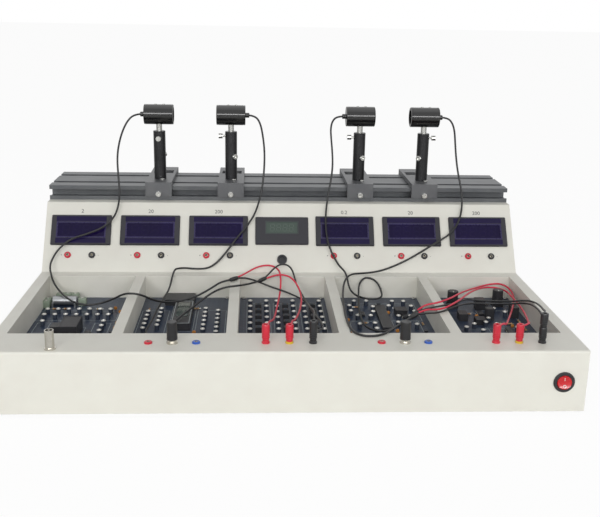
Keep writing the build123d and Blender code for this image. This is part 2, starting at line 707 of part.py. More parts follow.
# Black sleeves pushed over two of the coaxial sockets
with BuildPart() as cap:
    with BuildSketch(Plane.XY.offset(CAP_RISE)):
        Circle(CAP_R)
    extrude(amount=CAP_H, taper=CAP_DRAFT)
    Cylinder(
        COAX_R + CAP_GAP,
        COAX_H + CAP_GAP,
        align=(Align.CENTER, Align.CENTER, Align.MIN),
        mode=Mode.SUBTRACT,
    )
    fillet(cap.faces().sort_by(Axis.Z)[-1].edges(), CAP_EDGE)
gather("coax_caps", cap.part, CAPPED_COAX)

# Round power switch: bezel with a cylindrical body, and a rocker on a cross pin
ROCKER_PLACE = SWITCH_PLACE * Location((0, 0, -ROCKER_PIVOT), (-ROCKER_TILT, 0, 0))
with BuildPart() as switch_bezel:
    with Locations(SWITCH_PLACE):
        Cylinder(BEZEL_R, BEZEL_LIP, align=(Align.CENTER, Align.CENTER, Align.MIN))
        Cylinder(BEZEL_BODY_R, BEZEL_BODY_L, align=(Align.CENTER, Align.CENTER, Align.MAX))
    chamfer(switch_bezel.faces().sort_by(Axis.Y)[0].outer_wire().edges(), BEZEL_EDGE)
    with Locations(ROCKER_PLACE):
        Sphere(ROCKER_R + ROCKER_GAP, mode=Mode.SUBTRACT)
        Cylinder(PIN_R + PIN_GAP, 2 * BEZEL_BODY_R, rotation=(0, 90, 0), mode=Mode.SUBTRACT)
finish(switch_bezel, "switch_bezel")

# The rocker is a slice of a ball about its cross pin, with a shallow valley in its face
ROCKER_FRAME = Plane(ROCKER_PLACE)
VALLEY_R = ROCKER_RIM_R - ROCKER_RIM_W
ROCKER_SIDE = Plane(ROCKER_FRAME.origin, x_dir=ROCKER_FRAME.y_dir, z_dir=ROCKER_FRAME.x_dir)
with BuildPart() as power_rocker:
    with Locations(ROCKER_PLACE):
        Sphere(ROCKER_R)
    with BuildSketch(ROCKER_SIDE):
        with BuildLine():
            Polyline(
                (-VALLEY_R, ROCKER_RIM_H),
                (-2 * ROCKER_R, ROCKER_RIM_H),
                (-2 * ROCKER_R, -ROCKER_DEEP),
                (2 * ROCKER_R, -ROCKER_DEEP),
                (2 * ROCKER_R, ROCKER_RIM_H),
                (VALLEY_R, ROCKER_RIM_H),
            )
            ThreePointArc((VALLEY_R, ROCKER_RIM_H), (0, ROCKER_VALLEY), (-VALLEY_R, ROCKER_RIM_H))
        make_face()
    extrude(amount=2 * ROCKER_R, both=True, mode=Mode.INTERSECT)
    with Locations(ROCKER_PLACE):
        Cylinder(PIN_R, 2 * (BEZEL_BODY_R - PIN_GAP), rotation=(0, 90, 0))
finish(power_rocker, "power_rocker")

# Mains inlet: a flanged shroud with three blades, screwed to the rear plate
with BuildPart() as power_inlet:
    with BuildSketch(Plane(INLET_PLACE)):
        RectangleRounded(INLET_FLANGE_W, INLET_FLANGE_H, INLET_CORNER_R)
    extrude(amount=INLET_FLANGE_T)
    with BuildSketch(Plane(INLET_PLACE)):
        Rectangle(INLET_W, INLET_H)
    extrude(amount=-INLET_D)
    with BuildSketch(Plane(INLET_PLACE).offset(INLET_FLANGE_T)):
        Rectangle(INLET_W - 2 * INLET_WALL, INLET_H - 2 * INLET_WALL)
    extrude(amount=-INLET_RECESS, mode=Mode.SUBTRACT)
    with BuildSketch(Plane(INLET_PLACE).offset(INLET_FLANGE_T - INLET_RECESS)):
        with Locations(
            (-BLADE_PITCH, -BLADE_OFFSET), (0, BLADE_OFFSET), (BLADE_PITCH, -BLADE_OFFSET)
        ):
            Rectangle(BLADE_W, BLADE_H)
    extrude(amount=BLADE_L)
finish(power_inlet, "power_inlet")

# Power supply inside: a folded cover on the base plate
with BuildPart() as power_supply:
    with Locations((SUPPLY_X, SUPPLY_Y, BASE_Z)):
        Box(SUPPLY_W, SUPPLY_D, SUPPLY_H, align=(Align.CENTER, Align.CENTER, Align.MIN))
    fillet(power_supply.edges().filter_by(Axis.X).group_by(Axis.Z)[-1], radius=SUPPLY_FOLD)
finish(power_supply, "power_supply")

# Slide rail, cut from one extruded profile with its ends open
with BuildPart() as slide_rail:
    with BuildSketch(Plane.YZ.offset(-RAIL_L / 2)):
        with Locations((RAIL_Y + RAIL_D / 2, RAIL_MID_Z)):
            Rectangle(RAIL_D, RAIL_H)
            Rectangle(RAIL_CORE_W, RAIL_CORE_H, mode=Mode.SUBTRACT)
        with Locations(*[(y, RAIL_TOP_Z) for y in TOP_SLOT_Y]):
            Rectangle(
                RAIL_SLOT_W, RAIL_SLOT_DEEP, align=(Align.CENTER, Align.MAX), mode=Mode.SUBTRACT
            )
        with Locations(*[(y, RAIL_TOP_Z - RAIL_SLOT_LIP) for y in TOP_SLOT_Y]):
            Rectangle(
                RAIL_SLOT_INNER_W,
                RAIL_SLOT_DEEP - RAIL_SLOT_LIP,
                align=(Align.CENTER, Align.MAX),
                mode=Mode.SUBTRACT,
            )
        with Locations((RAIL_Y, RAIL_MID_Z), (RAIL_Y + RAIL_D, RAIL_MID_Z)):
            Rectangle(2 * EDGE_SLOT_LIP, EDGE_SLOT_H, mode=Mode.SUBTRACT)
        with Locations(
            (RAIL_Y + (EDGE_SLOT_LIP + EDGE_SLOT_DEEP) / 2, RAIL_MID_Z),
            (RAIL_Y + RAIL_D - (EDGE_SLOT_LIP + EDGE_SLOT_DEEP) / 2, RAIL_MID_Z),
        ):
            Rectangle(EDGE_SLOT_DEEP - EDGE_SLOT_LIP, EDGE_SLOT_INNER_H, mode=Mode.SUBTRACT)
    extrude(amount=RAIL_L)
    with Locations(*RAIL_SCREW_PLACES):
        Cylinder(SCREW_R + THREAD_GAP, RAIL_H - RAIL_CORE_H, mode=Mode.SUBTRACT)
finish(slide_rail, "slide_rail")

# Carriage: a bridge over the rail whose two flanges reach into the edge slots
FLANGE_Z = PLATE_TOP_Z - FLANGE_H
TONGUE_Z = FLANGE_Z + TONGUE_UP
FRONT_FLANGE_Y = RAIL_Y - CARRIAGE_GAP - FLANGE_T
REAR_FLANGE_Y = RAIL_Y + RAIL_D + CARRIAGE_GAP + REAR_FLANGE_T
TONGUE_REACH = CARRIAGE_GAP + TONGUE_D
UNDER_Z = PLATE_TOP_Z - CARRIAGE_T
with BuildPart() as carriage:
    with BuildSketch(Plane.YZ.offset(-CARRIAGE_W / 2)):
        with BuildLine():
            Polyline(
                (FRONT_FLANGE_Y, PLATE_TOP_Z),
                (FRONT_FLANGE_Y, FLANGE_Z),
                (RAIL_Y - CARRIAGE_GAP, FLANGE_Z),
                (RAIL_Y - CARRIAGE_GAP, TONGUE_Z),
                (RAIL_Y - CARRIAGE_GAP + TONGUE_REACH, TONGUE_Z),
                (RAIL_Y - CARRIAGE_GAP + TONGUE_REACH, TONGUE_Z + TONGUE_H),
                (RAIL_Y - CARRIAGE_GAP, TONGUE_Z + TONGUE_H),
                (RAIL_Y - CARRIAGE_GAP, UNDER_Z),
                (RAIL_Y + RAIL_D + CARRIAGE_GAP, UNDER_Z),
                (RAIL_Y + RAIL_D + CARRIAGE_GAP, TONGUE_Z + TONGUE_H),
                (RAIL_Y + RAIL_D + CARRIAGE_GAP - TONGUE_REACH, TONGUE_Z + TONGUE_H),
                (RAIL_Y + RAIL_D + CARRIAGE_GAP - TONGUE_REACH, TONGUE_Z),
                (RAIL_Y + RAIL_D + CARRIAGE_GAP, TONGUE_Z),
                (RAIL_Y + RAIL_D + CARRIAGE_GAP, FLANGE_Z),
                (REAR_FLANGE_Y, FLANGE_Z),
                (REAR_FLANGE_Y, PLATE_TOP_Z),
                close=True,
            )
        make_face()
    extrude(amount=CARRIAGE_W)
    with BuildSketch(Plane.XY.offset(PLATE_TOP_Z)):
        with Locations((0, TOP_SLOT_Y[1])):
            RectangleRounded(CARRIAGE_SIGHT_W, CARRIAGE_SIGHT_D, CARRIAGE_SIGHT_CORNER_R)
    extrude(amount=-2 * CARRIAGE_T, mode=Mode.SUBTRACT)
    with Locations((0, POST_Y, PLATE_TOP_Z)):
        Cylinder(STUD_R + STUD_GAP, 3 * CARRIAGE_T, mode=Mode.SUBTRACT)
    with Locations(Location((0, FRONT_FLANGE_Y, CLAMP_Z), (90, 0, 0))):
        Cylinder(SCREW_R + THREAD_GAP, 4 * FLANGE_T, mode=Mode.SUBTRACT)

# Post: a tube with a threaded stud at its foot, bored for the rod
with BuildPart() as blank_post:
    with BuildSketch(Plane.XZ.offset(-POST_Y)):
        with BuildLine():
            Polyline(
                (0, PLATE_TOP_Z - STUD_L),
                (STUD_R, PLATE_TOP_Z - STUD_L),
                (STUD_R, PLATE_TOP_Z),
                (POST_R, PLATE_TOP_Z),
                (POST_R, POST_TOP_Z - POST_EDGE),
                (POST_R - POST_EDGE, POST_TOP_Z),
                (ROD_R + POST_BORE_GAP, POST_TOP_Z),
                (ROD_R + POST_BORE_GAP, PLATE_TOP_Z + POST_FLOOR),
                (0, PLATE_TOP_Z + POST_FLOOR),
                close=True,
            )
        make_face()
    revolve(axis=Axis((0, POST_Y, 0), (0, 0, 1)))

# Rod that slides in the post and carries the head
with BuildPart() as rod:
    with Locations((0, POST_Y, POST_TOP_Z - ROD_IN_POST)):
        Cylinder(
            ROD_R,
            ROD_IN_POST + ROD_SHOWN + ROD_IN_BARREL,
            align=(Align.CENTER, Align.CENTER, Align.MIN),
        )
    chamfer(rod.faces().sort_by(Axis.Z)[0].edges(), ROD_EDGE)

# Sensor head: a round barrel with a hooded end and a cable gland at the other
with BuildPart() as barrel:
    with BuildSketch(Plane.XZ):
        with BuildLine():
            Polyline(
                (-BARREL_L / 2 - GLAND_L, 0),
                (-BARREL_L / 2 - GLAND_L, GLAND_R - BARREL_EDGE),
                (-BARREL_L / 2 - GLAND_L + BARREL_EDGE, GLAND_R),
                (-BARREL_L / 2, GLAND_R),
                (-BARREL_L / 2, BARREL_R - BARREL_EDGE),
                (-BARREL_L / 2 + BARREL_EDGE, BARREL_R),
                (BARREL_L / 2 - BARREL_EDGE, BARREL_R),
                (BARREL_L / 2, BARREL_R - BARREL_EDGE),
                (BARREL_L / 2, HOOD_R),
                (BARREL_L / 2 - HOOD_D, HOOD_R),
                (BARREL_L / 2 - HOOD_D, LENS_R),
                (BARREL_L / 2 - LENS_D, LENS_R),
                (BARREL_L / 2 - LENS_D, 0),
                close=True,
            )
        make_face()
        for side in (-1, 1):
            with Locations((side * (BARREL_L / 2 - BARREL_GROOVE_IN), BARREL_R)):
                Rectangle(BARREL_GROOVE_W, 2 * BARREL_GROOVE_D, mode=Mode.SUBTRACT)
    revolve(axis=Axis.X)
    with Locations((0, 0, -BARREL_R + ROD_IN_BARREL + ROD_END_GAP)):
        Cylinder(
            ROD_R + POST_BORE_GAP,
            BARREL_R,
            align=(Align.CENTER, Align.CENTER, Align.MAX),
            mode=Mode.SUBTRACT,
        )


def radial(turn, z, radius):
    """Location on a post's axis frame that faces out at a turn from the front."""
    return Location((0, POST_Y, z), (0, 0, turn)) * Location((0, -radius, 0), (90, 0, 0))


# Knurled lock screw: its stem passes the wall of the post and its head stands clear
with BuildPart() as lock_screw:
    Cylinder(
        LOCK_R,
        POST_R + LOCK_STEM - ROD_R - LOCK_TIP_GAP,
        align=(Align.CENTER, Align.CENTER, Align.MAX),
    )
    with BuildSketch():
        RegularPolygon(LOCK_HEAD_R, LOCK_HEAD_SIDES)
    extrude(amount=LOCK_HEAD_L)

SET_SHANK_L = POST_R - ROD_R - LOCK_TIP_GAP
CLAMP_SHANK_L = CARRIAGE_GAP + FLANGE_T + EDGE_SLOT_DEEP - THREAD_END_GAP
for index, post_x in enumerate(POST_X):
    number = index + 1
    lock_z = POST_TOP_Z - LOCK_DROP[index]
    set_z = PLATE_TOP_Z + SET_UP
    lock_hole = radial(LOCK_TURN[index], lock_z, 0)
    set_hole = radial(SET_TURN[index], set_z, 0)
    with BuildPart() as post:
        add(blank_post.part)
        with Locations(lock_hole):
            Cylinder(
                LOCK_R + PIN_GAP,
                2 * POST_R,
                align=(Align.CENTER, Align.CENTER, Align.MIN),
                mode=Mode.SUBTRACT,
            )
        with Locations(set_hole):
            Cylinder(
                SCREW_R + THREAD_GAP,
                2 * POST_R,
                align=(Align.CENTER, Align.CENTER, Align.MIN),
                mode=Mode.SUBTRACT,
            )
    with BuildPart() as screws:
        with Locations(Location((0, FRONT_FLANGE_Y, CLAMP_Z), (90, 0, 0))):
            add(cap_screw.part)
            add(shank(CLAMP_SHANK_L, SCREW_R))
        with Locations(radial(SET_TURN[index], set_z, POST_R)):
            add(cap_screw.part)
            add(shank(SET_SHANK_L, SCREW_R))
    here = [Location((post_x, 0, 0))]
    gather(f"carriage_{number}", carriage.part, here)
    gather(f"post_{number}", post.part, here)
    gather(f"carriage_screws_{number}", screws.part, here)
    lock_head = radial(LOCK_TURN[index], lock_z, POST_R + LOCK_STEM)
    gather(f"lock_screw_{number}", lock_screw.part, [here[0] * lock_head])
    gather(f"rod_{number}", rod.part, here)
    facing = Location((post_x, POST_Y, BARREL_Z), (0, 0, 90 + 90 * GLAND_SIDE[index]))
    gather(f"barrel_{number}", barrel.part, [facing])

# Routes of the cords: across, depth from the front and height over the cabinet's floor
CORD_ROUTE_1 = (
    (-204.5, 378.7, 267.6), (-213, 375.8, 259.5), (-219.5, 369, 246), (-224, 361, 229),
    (-225.5, 352, 211), (-223.5, 343.5, 188), (-221, 335.5, 162), (-224.5, 320, 139.5),
    (-239, 310.5, 125), (-261, 305.5, 116.5), (-283, 301, 111), (-299, 292, 99),
    (-307.5, 281.5, 84), (-306.5, 271, 77.5), (-303.5, 261.5, 74.5), (-300.5, 256, 66),
    (-291, 244, 57), (-277, 219, 56), (-262, 200, 54.5), (-244, 196.5, 52.5), (-227, 202, 54),
    (-212, 193, 62.5), (-199, 181.5, 72.5), (-187, 174.5, 76), (-175, 178, 72.5), (-162, 190.5, 61),
    (-147, 206, 53), (-130, 216, 52), (-112, 222.5, 55.5), (-95, 227, 64), (-83, 229.5, 71.5),
    (-75.5, 231.8, 73.6), (-69.5, 236, 73.4),
)
CORD_ROUTE_2 = (
    (-36.5, 378.7, 267.6), (-30, 374.8, 259), (-26.5, 366, 244.5), (-23.8, 355, 223),
    (-24.2, 344.5, 201), (-26, 339.5, 181), (-29.3, 335.5, 162.5), (-36, 321.5, 143),
    (-47, 312.5, 127), (-60, 303, 114), (-73, 294, 98), (-86, 286, 83.5), (-99, 281.2, 75.5),
    (-116, 280.5, 75), (-130, 283, 75.7), (-139, 276.5, 77), (-143, 267.5, 78), (-145.5, 258, 70.5),
    (-147.5, 253, 61), (-150, 240, 55.5), (-154, 214, 54), (-158, 180, 52), (-160, 145, 51),
    (-163, 123, 50.5), (-163.5, 109, 50.5), (-159.5, 97.5, 50.5), (-149.5, 92.5, 50.5),
    (-140.5, 98.5, 50.5), (-137, 110, 50.5), (-135, 127, 51), (-129, 150, 53), (-118, 175, 54),
    (-105, 196, 58.5), (-92, 203, 66.5), (-80, 200.5, 73.5), (-69.5, 200, 76.3), (-59, 204.5, 76),
    (-49.5, 213.5, 74.6), (-40.5, 226, 72.6), (-31.9, 239.4, 71),
)
CORD_ROUTE_3 = (
    (76.5, 378.7, 268), (70.5, 375.5, 262), (67.9, 369, 252.5), (68.5, 361, 239),
    (69.7, 354, 224), (70.3, 347.5, 208), (69, 342, 192.4), (65.3, 338, 172.1), (61.5, 330.2, 150),
    (59.8, 317.6, 133.3), (60.3, 306.7, 118.1), (63.4, 297.5, 103.4), (70.5, 288.9, 89.2),
    (76.5, 283, 80), (80.5, 274.5, 77.5), (83.5, 265.5, 76), (86, 257.5, 69.5), (87.5, 253.5, 60.5),
    (91, 248, 53.5), (99, 240.5, 49.6), (110.5, 233.5, 49), (121.5, 232.5, 49), (129.5, 238.5, 49),
    (132, 248.5, 50.5), (130.5, 257, 55.5), (127, 261.3, 62.5), (119.5, 262, 68),
    (110.5, 262, 69.5), (104, 260.5, 64.5), (101, 253.5, 58.5), (100, 244.5, 55.5),
    (98.5, 231, 52.5), (96.8, 214, 50), (95, 193, 49.5), (93.7, 168, 49.5), (93.8, 141, 49.5),
    (97.5, 124, 49.5), (106.5, 114.5, 49.5), (117.5, 113.5, 49.5), (128, 120, 50.5),
    (138.5, 126, 54.5), (149, 131, 59.5),
)
CORD_ROUTE_4 = (
    (234, 378.7, 268), (240, 375.2, 261.5), (242.3, 368.5, 251), (242.2, 360.5, 237.5),
    (242.8, 353, 219.5), (245, 346, 199), (249.2, 339.5, 179), (251.6, 337, 164.5),
    (251.3, 331.5, 150), (247, 321.5, 136.3), (239.1, 312.6, 124.6), (227.7, 305.6, 115.5),
    (210.5, 299.8, 107.3), (192.1, 294.2, 97.2), (172.2, 289.1, 86.8), (155, 284, 80),
    (138, 278.5, 75), (121, 272.5, 73), (105, 265.5, 74), (92, 255, 76.5), (83, 240, 76.5),
    (77.6, 221, 74), (74, 196, 72), (71, 165, 71.5), (69.2, 132, 71.5), (68.3, 99, 71.5),
    (69.1, 70, 71.5), (73.5, 50.5, 71.5), (81.2, 42, 71.5), (91, 40.5, 71.5), (101.8, 44, 71.5),
    (112, 54, 72), (122.5, 71, 71.5), (133, 87, 71), (144, 101, 71),
)
RED_ROUTE_1 = (
    (-55, 253.5, 74), (-46.5, 266, 75), (-35.5, 278, 78), (-23.5, 284, 79.5), (-13, 281.5, 79.5),
    (-6.3, 273, 77.5), (-3.3, 262.5, 75.5), (-2.4, 256, 66.5), (-3, 249, 56.5), (-5.5, 229, 51),
    (-9, 194, 50.8), (-12, 157, 54), (-14.5, 122, 62), (-16.5, 94, 70.5), (-18.4, 73, 77.5),
    (-20.4, 52.5, 84.8),
)
RED_ROUTE_2 = (
    (-9.2, 255.4, 74.8), (1.9, 252.9, 75.6), (10.8, 246.2, 74), (17.8, 236.3, 68.4),
    (21.7, 220.3, 62.6), (22.2, 196.1, 60), (18.6, 158.2, 61.5), (13, 114.8, 68), (8, 80, 75.5),
    (5, 62, 81.8), (4, 50.5, 86),
)
RED_ROUTE_3 = (
    (165, 143.5, 69.5), (173, 143.5, 72.8), (182, 143, 74.3), (193, 149.5, 75.2),
    (205.7, 164.4, 74), (219.6, 190, 70), (234.2, 214.8, 65.8), (250.7, 237.3, 62),
    (266.8, 253.1, 60.5), (281.3, 261.9, 60.5), (293.9, 262.2, 61), (301.6, 251.7, 59.6),
    (302.6, 230.7, 57.6), (296.4, 203.8, 57.6), (285.8, 172.6, 59), (271.4, 132.9, 64),
    (256.6, 92.2, 71.5), (246.7, 63.3, 78.5), (238.5, 41.5, 84.5),
)
RED_ROUTE_4 = (
    (165.9, 123, 73.6), (175.1, 118, 74.6), (186.5, 121.2, 75), (200.4, 135.6, 75.5),
    (216.8, 161.8, 73.2), (233.3, 195.8, 68.6), (253.3, 231.7, 63), (270.2, 248.9, 60.2),
    (284.8, 248.4, 60), (294.6, 233.6, 60), (294.5, 208.6, 60.6), (293, 181.4, 62.6),
    (289.3, 149, 66), (282, 109.9, 71.5), (275.3, 81.2, 76.5), (268.3, 56.5, 81.5),
    (265.7, 45.8, 85.6),
)
BLACK_ROUTE_1 = (
    (-52.8, 246, 73.8), (-42.6, 246.9, 71.6), (-32.1, 250.4, 66.8), (-16.9, 247.5, 61),
    (-0.5, 242.9, 57), (16.6, 230.9, 53.6), (26.3, 217.5, 52), (30.7, 198.3, 53.5),
    (32.5, 171.4, 58), (32.3, 132.6, 66), (34.3, 92, 75), (36, 66, 80.3), (36.4, 49, 82),
)
BLACK_ROUTE_2 = (
    (-17.5, 259, 75.8), (-10.5, 268.5, 80.8), (-2, 276, 83.5), (6.5, 275, 83), (12.4, 267, 79.5),
    (15.6, 257.5, 71.5), (17.8, 249.5, 63.5), (22.4, 237.5, 58), (25, 216.4, 57.8),
    (27.3, 193.2, 59), (29, 155, 65.5), (31, 124, 73.5), (30.8, 90, 82), (29, 65, 87.5),
    (27.6, 52, 89.6),
)
BLACK_ROUTE_3 = (
    (168, 139.5, 68), (177.5, 136, 71.6), (187.5, 136.5, 73.2), (199, 144, 72.4), (210, 157, 69),
    (227.9, 187.3, 64.8), (245.8, 186.3, 63), (265.6, 182.9, 63.4), (281.5, 172, 66.5),
    (293.1, 165.3, 70), (300.1, 151.4, 74.5), (299.4, 125.7, 80.4), (294.4, 95.3, 87),
    (286.6, 62, 94), (283.8, 50.5, 98),
)
BLACK_ROUTE_4 = (
    (165.3, 112.7, 72.5), (176.9, 114.4, 71.9), (190.2, 123.8, 71.8), (208.1, 149.1, 68.5),
    (227.6, 173, 63.6), (246.4, 177.1, 62.2), (263.9, 174, 63), (280, 164.3, 66),
    (291.5, 157.6, 69.5), (296.9, 143, 73.5), (295.8, 118.5, 78.5), (291.5, 90.2, 83.5),
    (287.4, 67.7, 85.5), (284, 50.9, 87),
)
SPLITTER_ENDS = (
    ((-69.5, 236, 73.4), (-59.86, 246.15, 73.4)),
    ((-31.9, 239.4, 71), (-22.63, 249.85, 71.94)),
    ((149, 131, 59.5), (158.9, 138.92, 65.44)),
    ((144, 101, 71), (153.86, 110.86, 72.23)),
)


def spot(across, depth, height):
    """Point of a route in the part's frame."""
    return Vector(across, FRONT_Y + depth, FOOT_H + height)


def tube(name, points, radius):
    """Cord of straight runs, joined by arcs as large as the runs allow."""
    radii = []
    for before, here, after in zip(points, points[1:], points[2:]):
        turn = math.radians((here - before).get_angle(after - here))
        shorter = min((here - before).length, (after - here).length)
        radii.append(ARC_SHARE * shorter / math.tan(turn / 2))
    with BuildPart() as cord:
        with BuildLine() as path:
            FilletPolyline(*points, radius=radii)
        with BuildSketch(Plane(points[0], z_dir=points[1] - points[0])) as section:
            RegularPolygon(radius, CORD_SIDES)
        sweep()
    length = sum(edge.length for edge in path.edges())
    drawn = cord.part.volume / (section.sketch.area * length)
    print(name, "length", round(length), "volume share", round(drawn, 4))
    print("  radii", *[round(value, 1) for value in radii])
    return cord.part


# Splitters: moulded sleeves where a sensor cord parts into its two leads
with BuildPart() as splitter:
    with BuildSketch(Plane.XZ):
        with BuildLine():
            Polyline(
                (0, 0),
                (SPLITTER_NECK_R, 0),
                (SPLITTER_R, SPLITTER_TAPER),
                (SPLITTER_R, SPLITTER_L - SPLITTER_TAPER),
                (SPLITTER_END_R, SPLITTER_L),
                (0, SPLITTER_L),
                close=True,
            )
        make_face()
    revolve(axis=Axis.Z)
splitter_places = []
red_starts = []
black_starts = []
for (start, end), side in zip(SPLITTER_ENDS, RED_SIDE):
    along = (spot(*end) - spot(*start)).normalized()
    aside = along.cross(Vector(0, 0, 1)).normalized() * LEAD_SPREAD * side
    splitter_places.append(Plane(spot(*start), z_dir=along).location)
    lead_start = spot(*start) + along * (SPLITTER_L + LEAD_GAP)
    red_starts.append(lead_start + aside)
    black_starts.append(lead_start - aside)
gather("cord_splitters", splitter.part, splitter_places)

CORD_ROUTES = (CORD_ROUTE_1, CORD_ROUTE_2, CORD_ROUTE_3, CORD_ROUTE_4)
for index, route in enumerate(CORD_ROUTES):
    gland_x = POST_X[index] + GLAND_SIDE[index] * (BARREL_L / 2 + GLAND_L + CORD_GAP)
    points = [Vector(gland_x, POST_Y, BARREL_Z)] + [spot(*point) for point in route]
    name = f"sensor_cord_{index + 1}"
    gather(name, tube(name, points, CORD_R), [Location()])


def plug(height, socket, bosses):
    """Four-millimetre plug: a pin under its plane, a grip with a socket in its top."""
    with BuildPart() as piece:
        with BuildSketch(Plane.XZ):
            with BuildLine():
                Polyline(
                    (0, -PLUG_PIN_L),
                    (PLUG_PIN_R - PLUG_PIN_EDGE, -PLUG_PIN_L),
                    (PLUG_PIN_R, PLUG_PIN_EDGE - PLUG_PIN_L),
                    (PLUG_PIN_R, 0),
                    (PLUG_FOOT_R, 0),
                    (PLUG_FOOT_R, PLUG_FOOT_H),
                    (PLUG_R, PLUG_FOOT_H + PLUG_R - PLUG_FOOT_R),
                    (PLUG_R, height - PLUG_EDGE),
                    (PLUG_R - PLUG_EDGE, height),
                    (JACK_BORE_R, height),
                    (JACK_BORE_R, height - socket),
                    (0, height - socket),
                    close=True,
                )
            make_face()
        revolve(axis=Axis.Z)
        for up, turn in bosses:
            with Locations(
                Location((0, 0, up), (0, 0, -turn)) * Location((0, BOSS_ROOT, 0), (-90, 0, 0))
            ):
                Cylinder(
                    BOSS_R, BOSS_REACH - BOSS_ROOT, align=(Align.CENTER, Align.CENTER, Align.MIN)
                )
    return piece.part


def lead_points(start, route, stand, up, turn):
    """Points of a lead from its splitter to a boss of the plug that stands there."""
    out = Vector(math.sin(math.radians(turn)), math.cos(math.radians(turn)), 0)
    foot = stand.position + Vector(0, 0, up)
    middle = [spot(*point) for point in route]
    return [start] + middle + [foot + out * (BOSS_REACH + LEAD_STRAIGHT), foot + out * BOSS_REACH]


# Plugs: single red ones, a black one that takes two leads, and two black ones in a stack
SEAT = Location((0, 0, JACK_LIP))
STACK_SEAT = Location((0, 0, JACK_LIP + STACK_PLUG_H + PLUG_GAP))
RED_SEATS = [LEDGE_RED[1] * SEAT, LEDGE_YELLOW[0] * SEAT, LEDGE_RED[3] * SEAT]
RED_SEATS += [LEDGE_YELLOW[1] * SEAT]
PAIRED_SEAT = LEDGE_BLACK[0] * SEAT
STACK_SEATS = (LEDGE_BLACK[1] * SEAT, LEDGE_BLACK[1] * STACK_SEAT)
with BuildPart() as red_plugs:
    for seat, turn in zip(RED_SEATS, BOSS_TURN):
        with Locations(seat):
            add(plug(PLUG_H, PLUG_SOCKET_L, [(BOSS_UP, turn)]))
finish(red_plugs, "red_plugs")
with BuildPart() as black_plugs:
    with Locations(PAIRED_SEAT):
        add(plug(PAIRED_PLUG_H, PLUG_SOCKET_L, zip(PAIRED_BOSS_UP, PAIRED_BOSS_TURN)))
    for seat, up, turn in zip(STACK_SEATS, STACK_BOSS_UP, STACK_BOSS_TURN):
        with Locations(seat):
            add(plug(STACK_PLUG_H, STACK_SOCKET_L, [(up, turn)]))
finish(black_plugs, "black_plugs")

# Leads from the splitters to the plugs
RED_ROUTES = (RED_ROUTE_1, RED_ROUTE_2, RED_ROUTE_3, RED_ROUTE_4)
with BuildPart() as red_leads:
    for index, (route, seat) in enumerate(zip(RED_ROUTES, RED_SEATS)):
        points = lead_points(red_starts[index], route, seat, BOSS_UP, BOSS_TURN[index])
        add(tube(f"red lead {index + 1}", points, LEAD_R))
finish(red_leads, "red_leads")

BLACK_ROUTES = (BLACK_ROUTE_1, BLACK_ROUTE_2, BLACK_ROUTE_3, BLACK_ROUTE_4)
BLACK_SEATS = (PAIRED_SEAT, PAIRED_SEAT, STACK_SEATS[1], STACK_SEATS[0])
BLACK_UP = PAIRED_BOSS_UP + (STACK_BOSS_UP[1], STACK_BOSS_UP[0])
BLACK_TURN = PAIRED_BOSS_TURN + (STACK_BOSS_TURN[1], STACK_BOSS_TURN[0])
with BuildPart() as black_leads:
    for index, (route, seat) in enumerate(zip(BLACK_ROUTES, BLACK_SEATS)):
        points = lead_points(black_starts[index], route, seat, BLACK_UP[index], BLACK_TURN[index])
        add(tube(f"black lead {index + 1}", points, LEAD_R))
finish(black_leads, "black_leads")
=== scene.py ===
"""Looks of a bench trainer for photoelectric sensors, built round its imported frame."""

import json
import logging
import math
from dataclasses import dataclass
from enum import Enum

import bpy
from mathutils import Euler, Matrix, Vector

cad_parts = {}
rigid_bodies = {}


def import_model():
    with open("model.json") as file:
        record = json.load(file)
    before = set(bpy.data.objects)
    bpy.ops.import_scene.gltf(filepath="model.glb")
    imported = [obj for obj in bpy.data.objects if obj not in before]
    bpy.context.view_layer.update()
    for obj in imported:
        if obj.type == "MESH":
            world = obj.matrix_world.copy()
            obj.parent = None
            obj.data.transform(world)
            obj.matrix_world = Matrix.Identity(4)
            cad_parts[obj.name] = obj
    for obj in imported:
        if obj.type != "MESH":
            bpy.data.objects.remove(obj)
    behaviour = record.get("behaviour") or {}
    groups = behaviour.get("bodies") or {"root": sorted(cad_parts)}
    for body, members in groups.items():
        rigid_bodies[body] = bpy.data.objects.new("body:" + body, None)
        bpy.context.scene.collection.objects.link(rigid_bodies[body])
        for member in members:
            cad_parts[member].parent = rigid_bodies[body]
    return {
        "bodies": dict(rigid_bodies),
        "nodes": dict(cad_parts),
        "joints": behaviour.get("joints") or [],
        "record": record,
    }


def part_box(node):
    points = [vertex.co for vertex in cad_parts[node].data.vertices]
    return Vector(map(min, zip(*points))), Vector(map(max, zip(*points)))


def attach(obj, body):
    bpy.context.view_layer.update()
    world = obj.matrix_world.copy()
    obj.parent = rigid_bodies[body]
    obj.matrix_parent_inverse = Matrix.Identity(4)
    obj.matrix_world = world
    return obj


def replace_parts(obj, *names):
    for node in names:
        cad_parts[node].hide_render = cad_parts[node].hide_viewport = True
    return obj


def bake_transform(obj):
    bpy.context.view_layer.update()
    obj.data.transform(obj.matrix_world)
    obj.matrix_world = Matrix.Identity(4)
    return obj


log = logging.getLogger("trainer")

MM = 0.001
FRONT_Y = -0.230822
FLOOR_Z = 0.003
DECK_Z = 0.073
BOARD_Z = 0.0432
PANEL_DEPTH = 0.281
PANEL_TILT = math.atan2(82.7, 57.7)
POST_X = (-0.170, -0.0705, 0.110, 0.2005)
POST_DEPTH = 0.379
BARREL_Z = 0.27155
WELL_X = (-0.2498, -0.1249, 0.0, 0.1249, 0.2498)
LED_X = (-0.2715, -0.179, -0.0865, 0.0865, 0.179, 0.2715)
METER_UP = 0.0595
ROOT = "console"

Point = tuple[float, float, float]
Route = tuple[Point, ...]
Profile = tuple[tuple[float, float], ...]


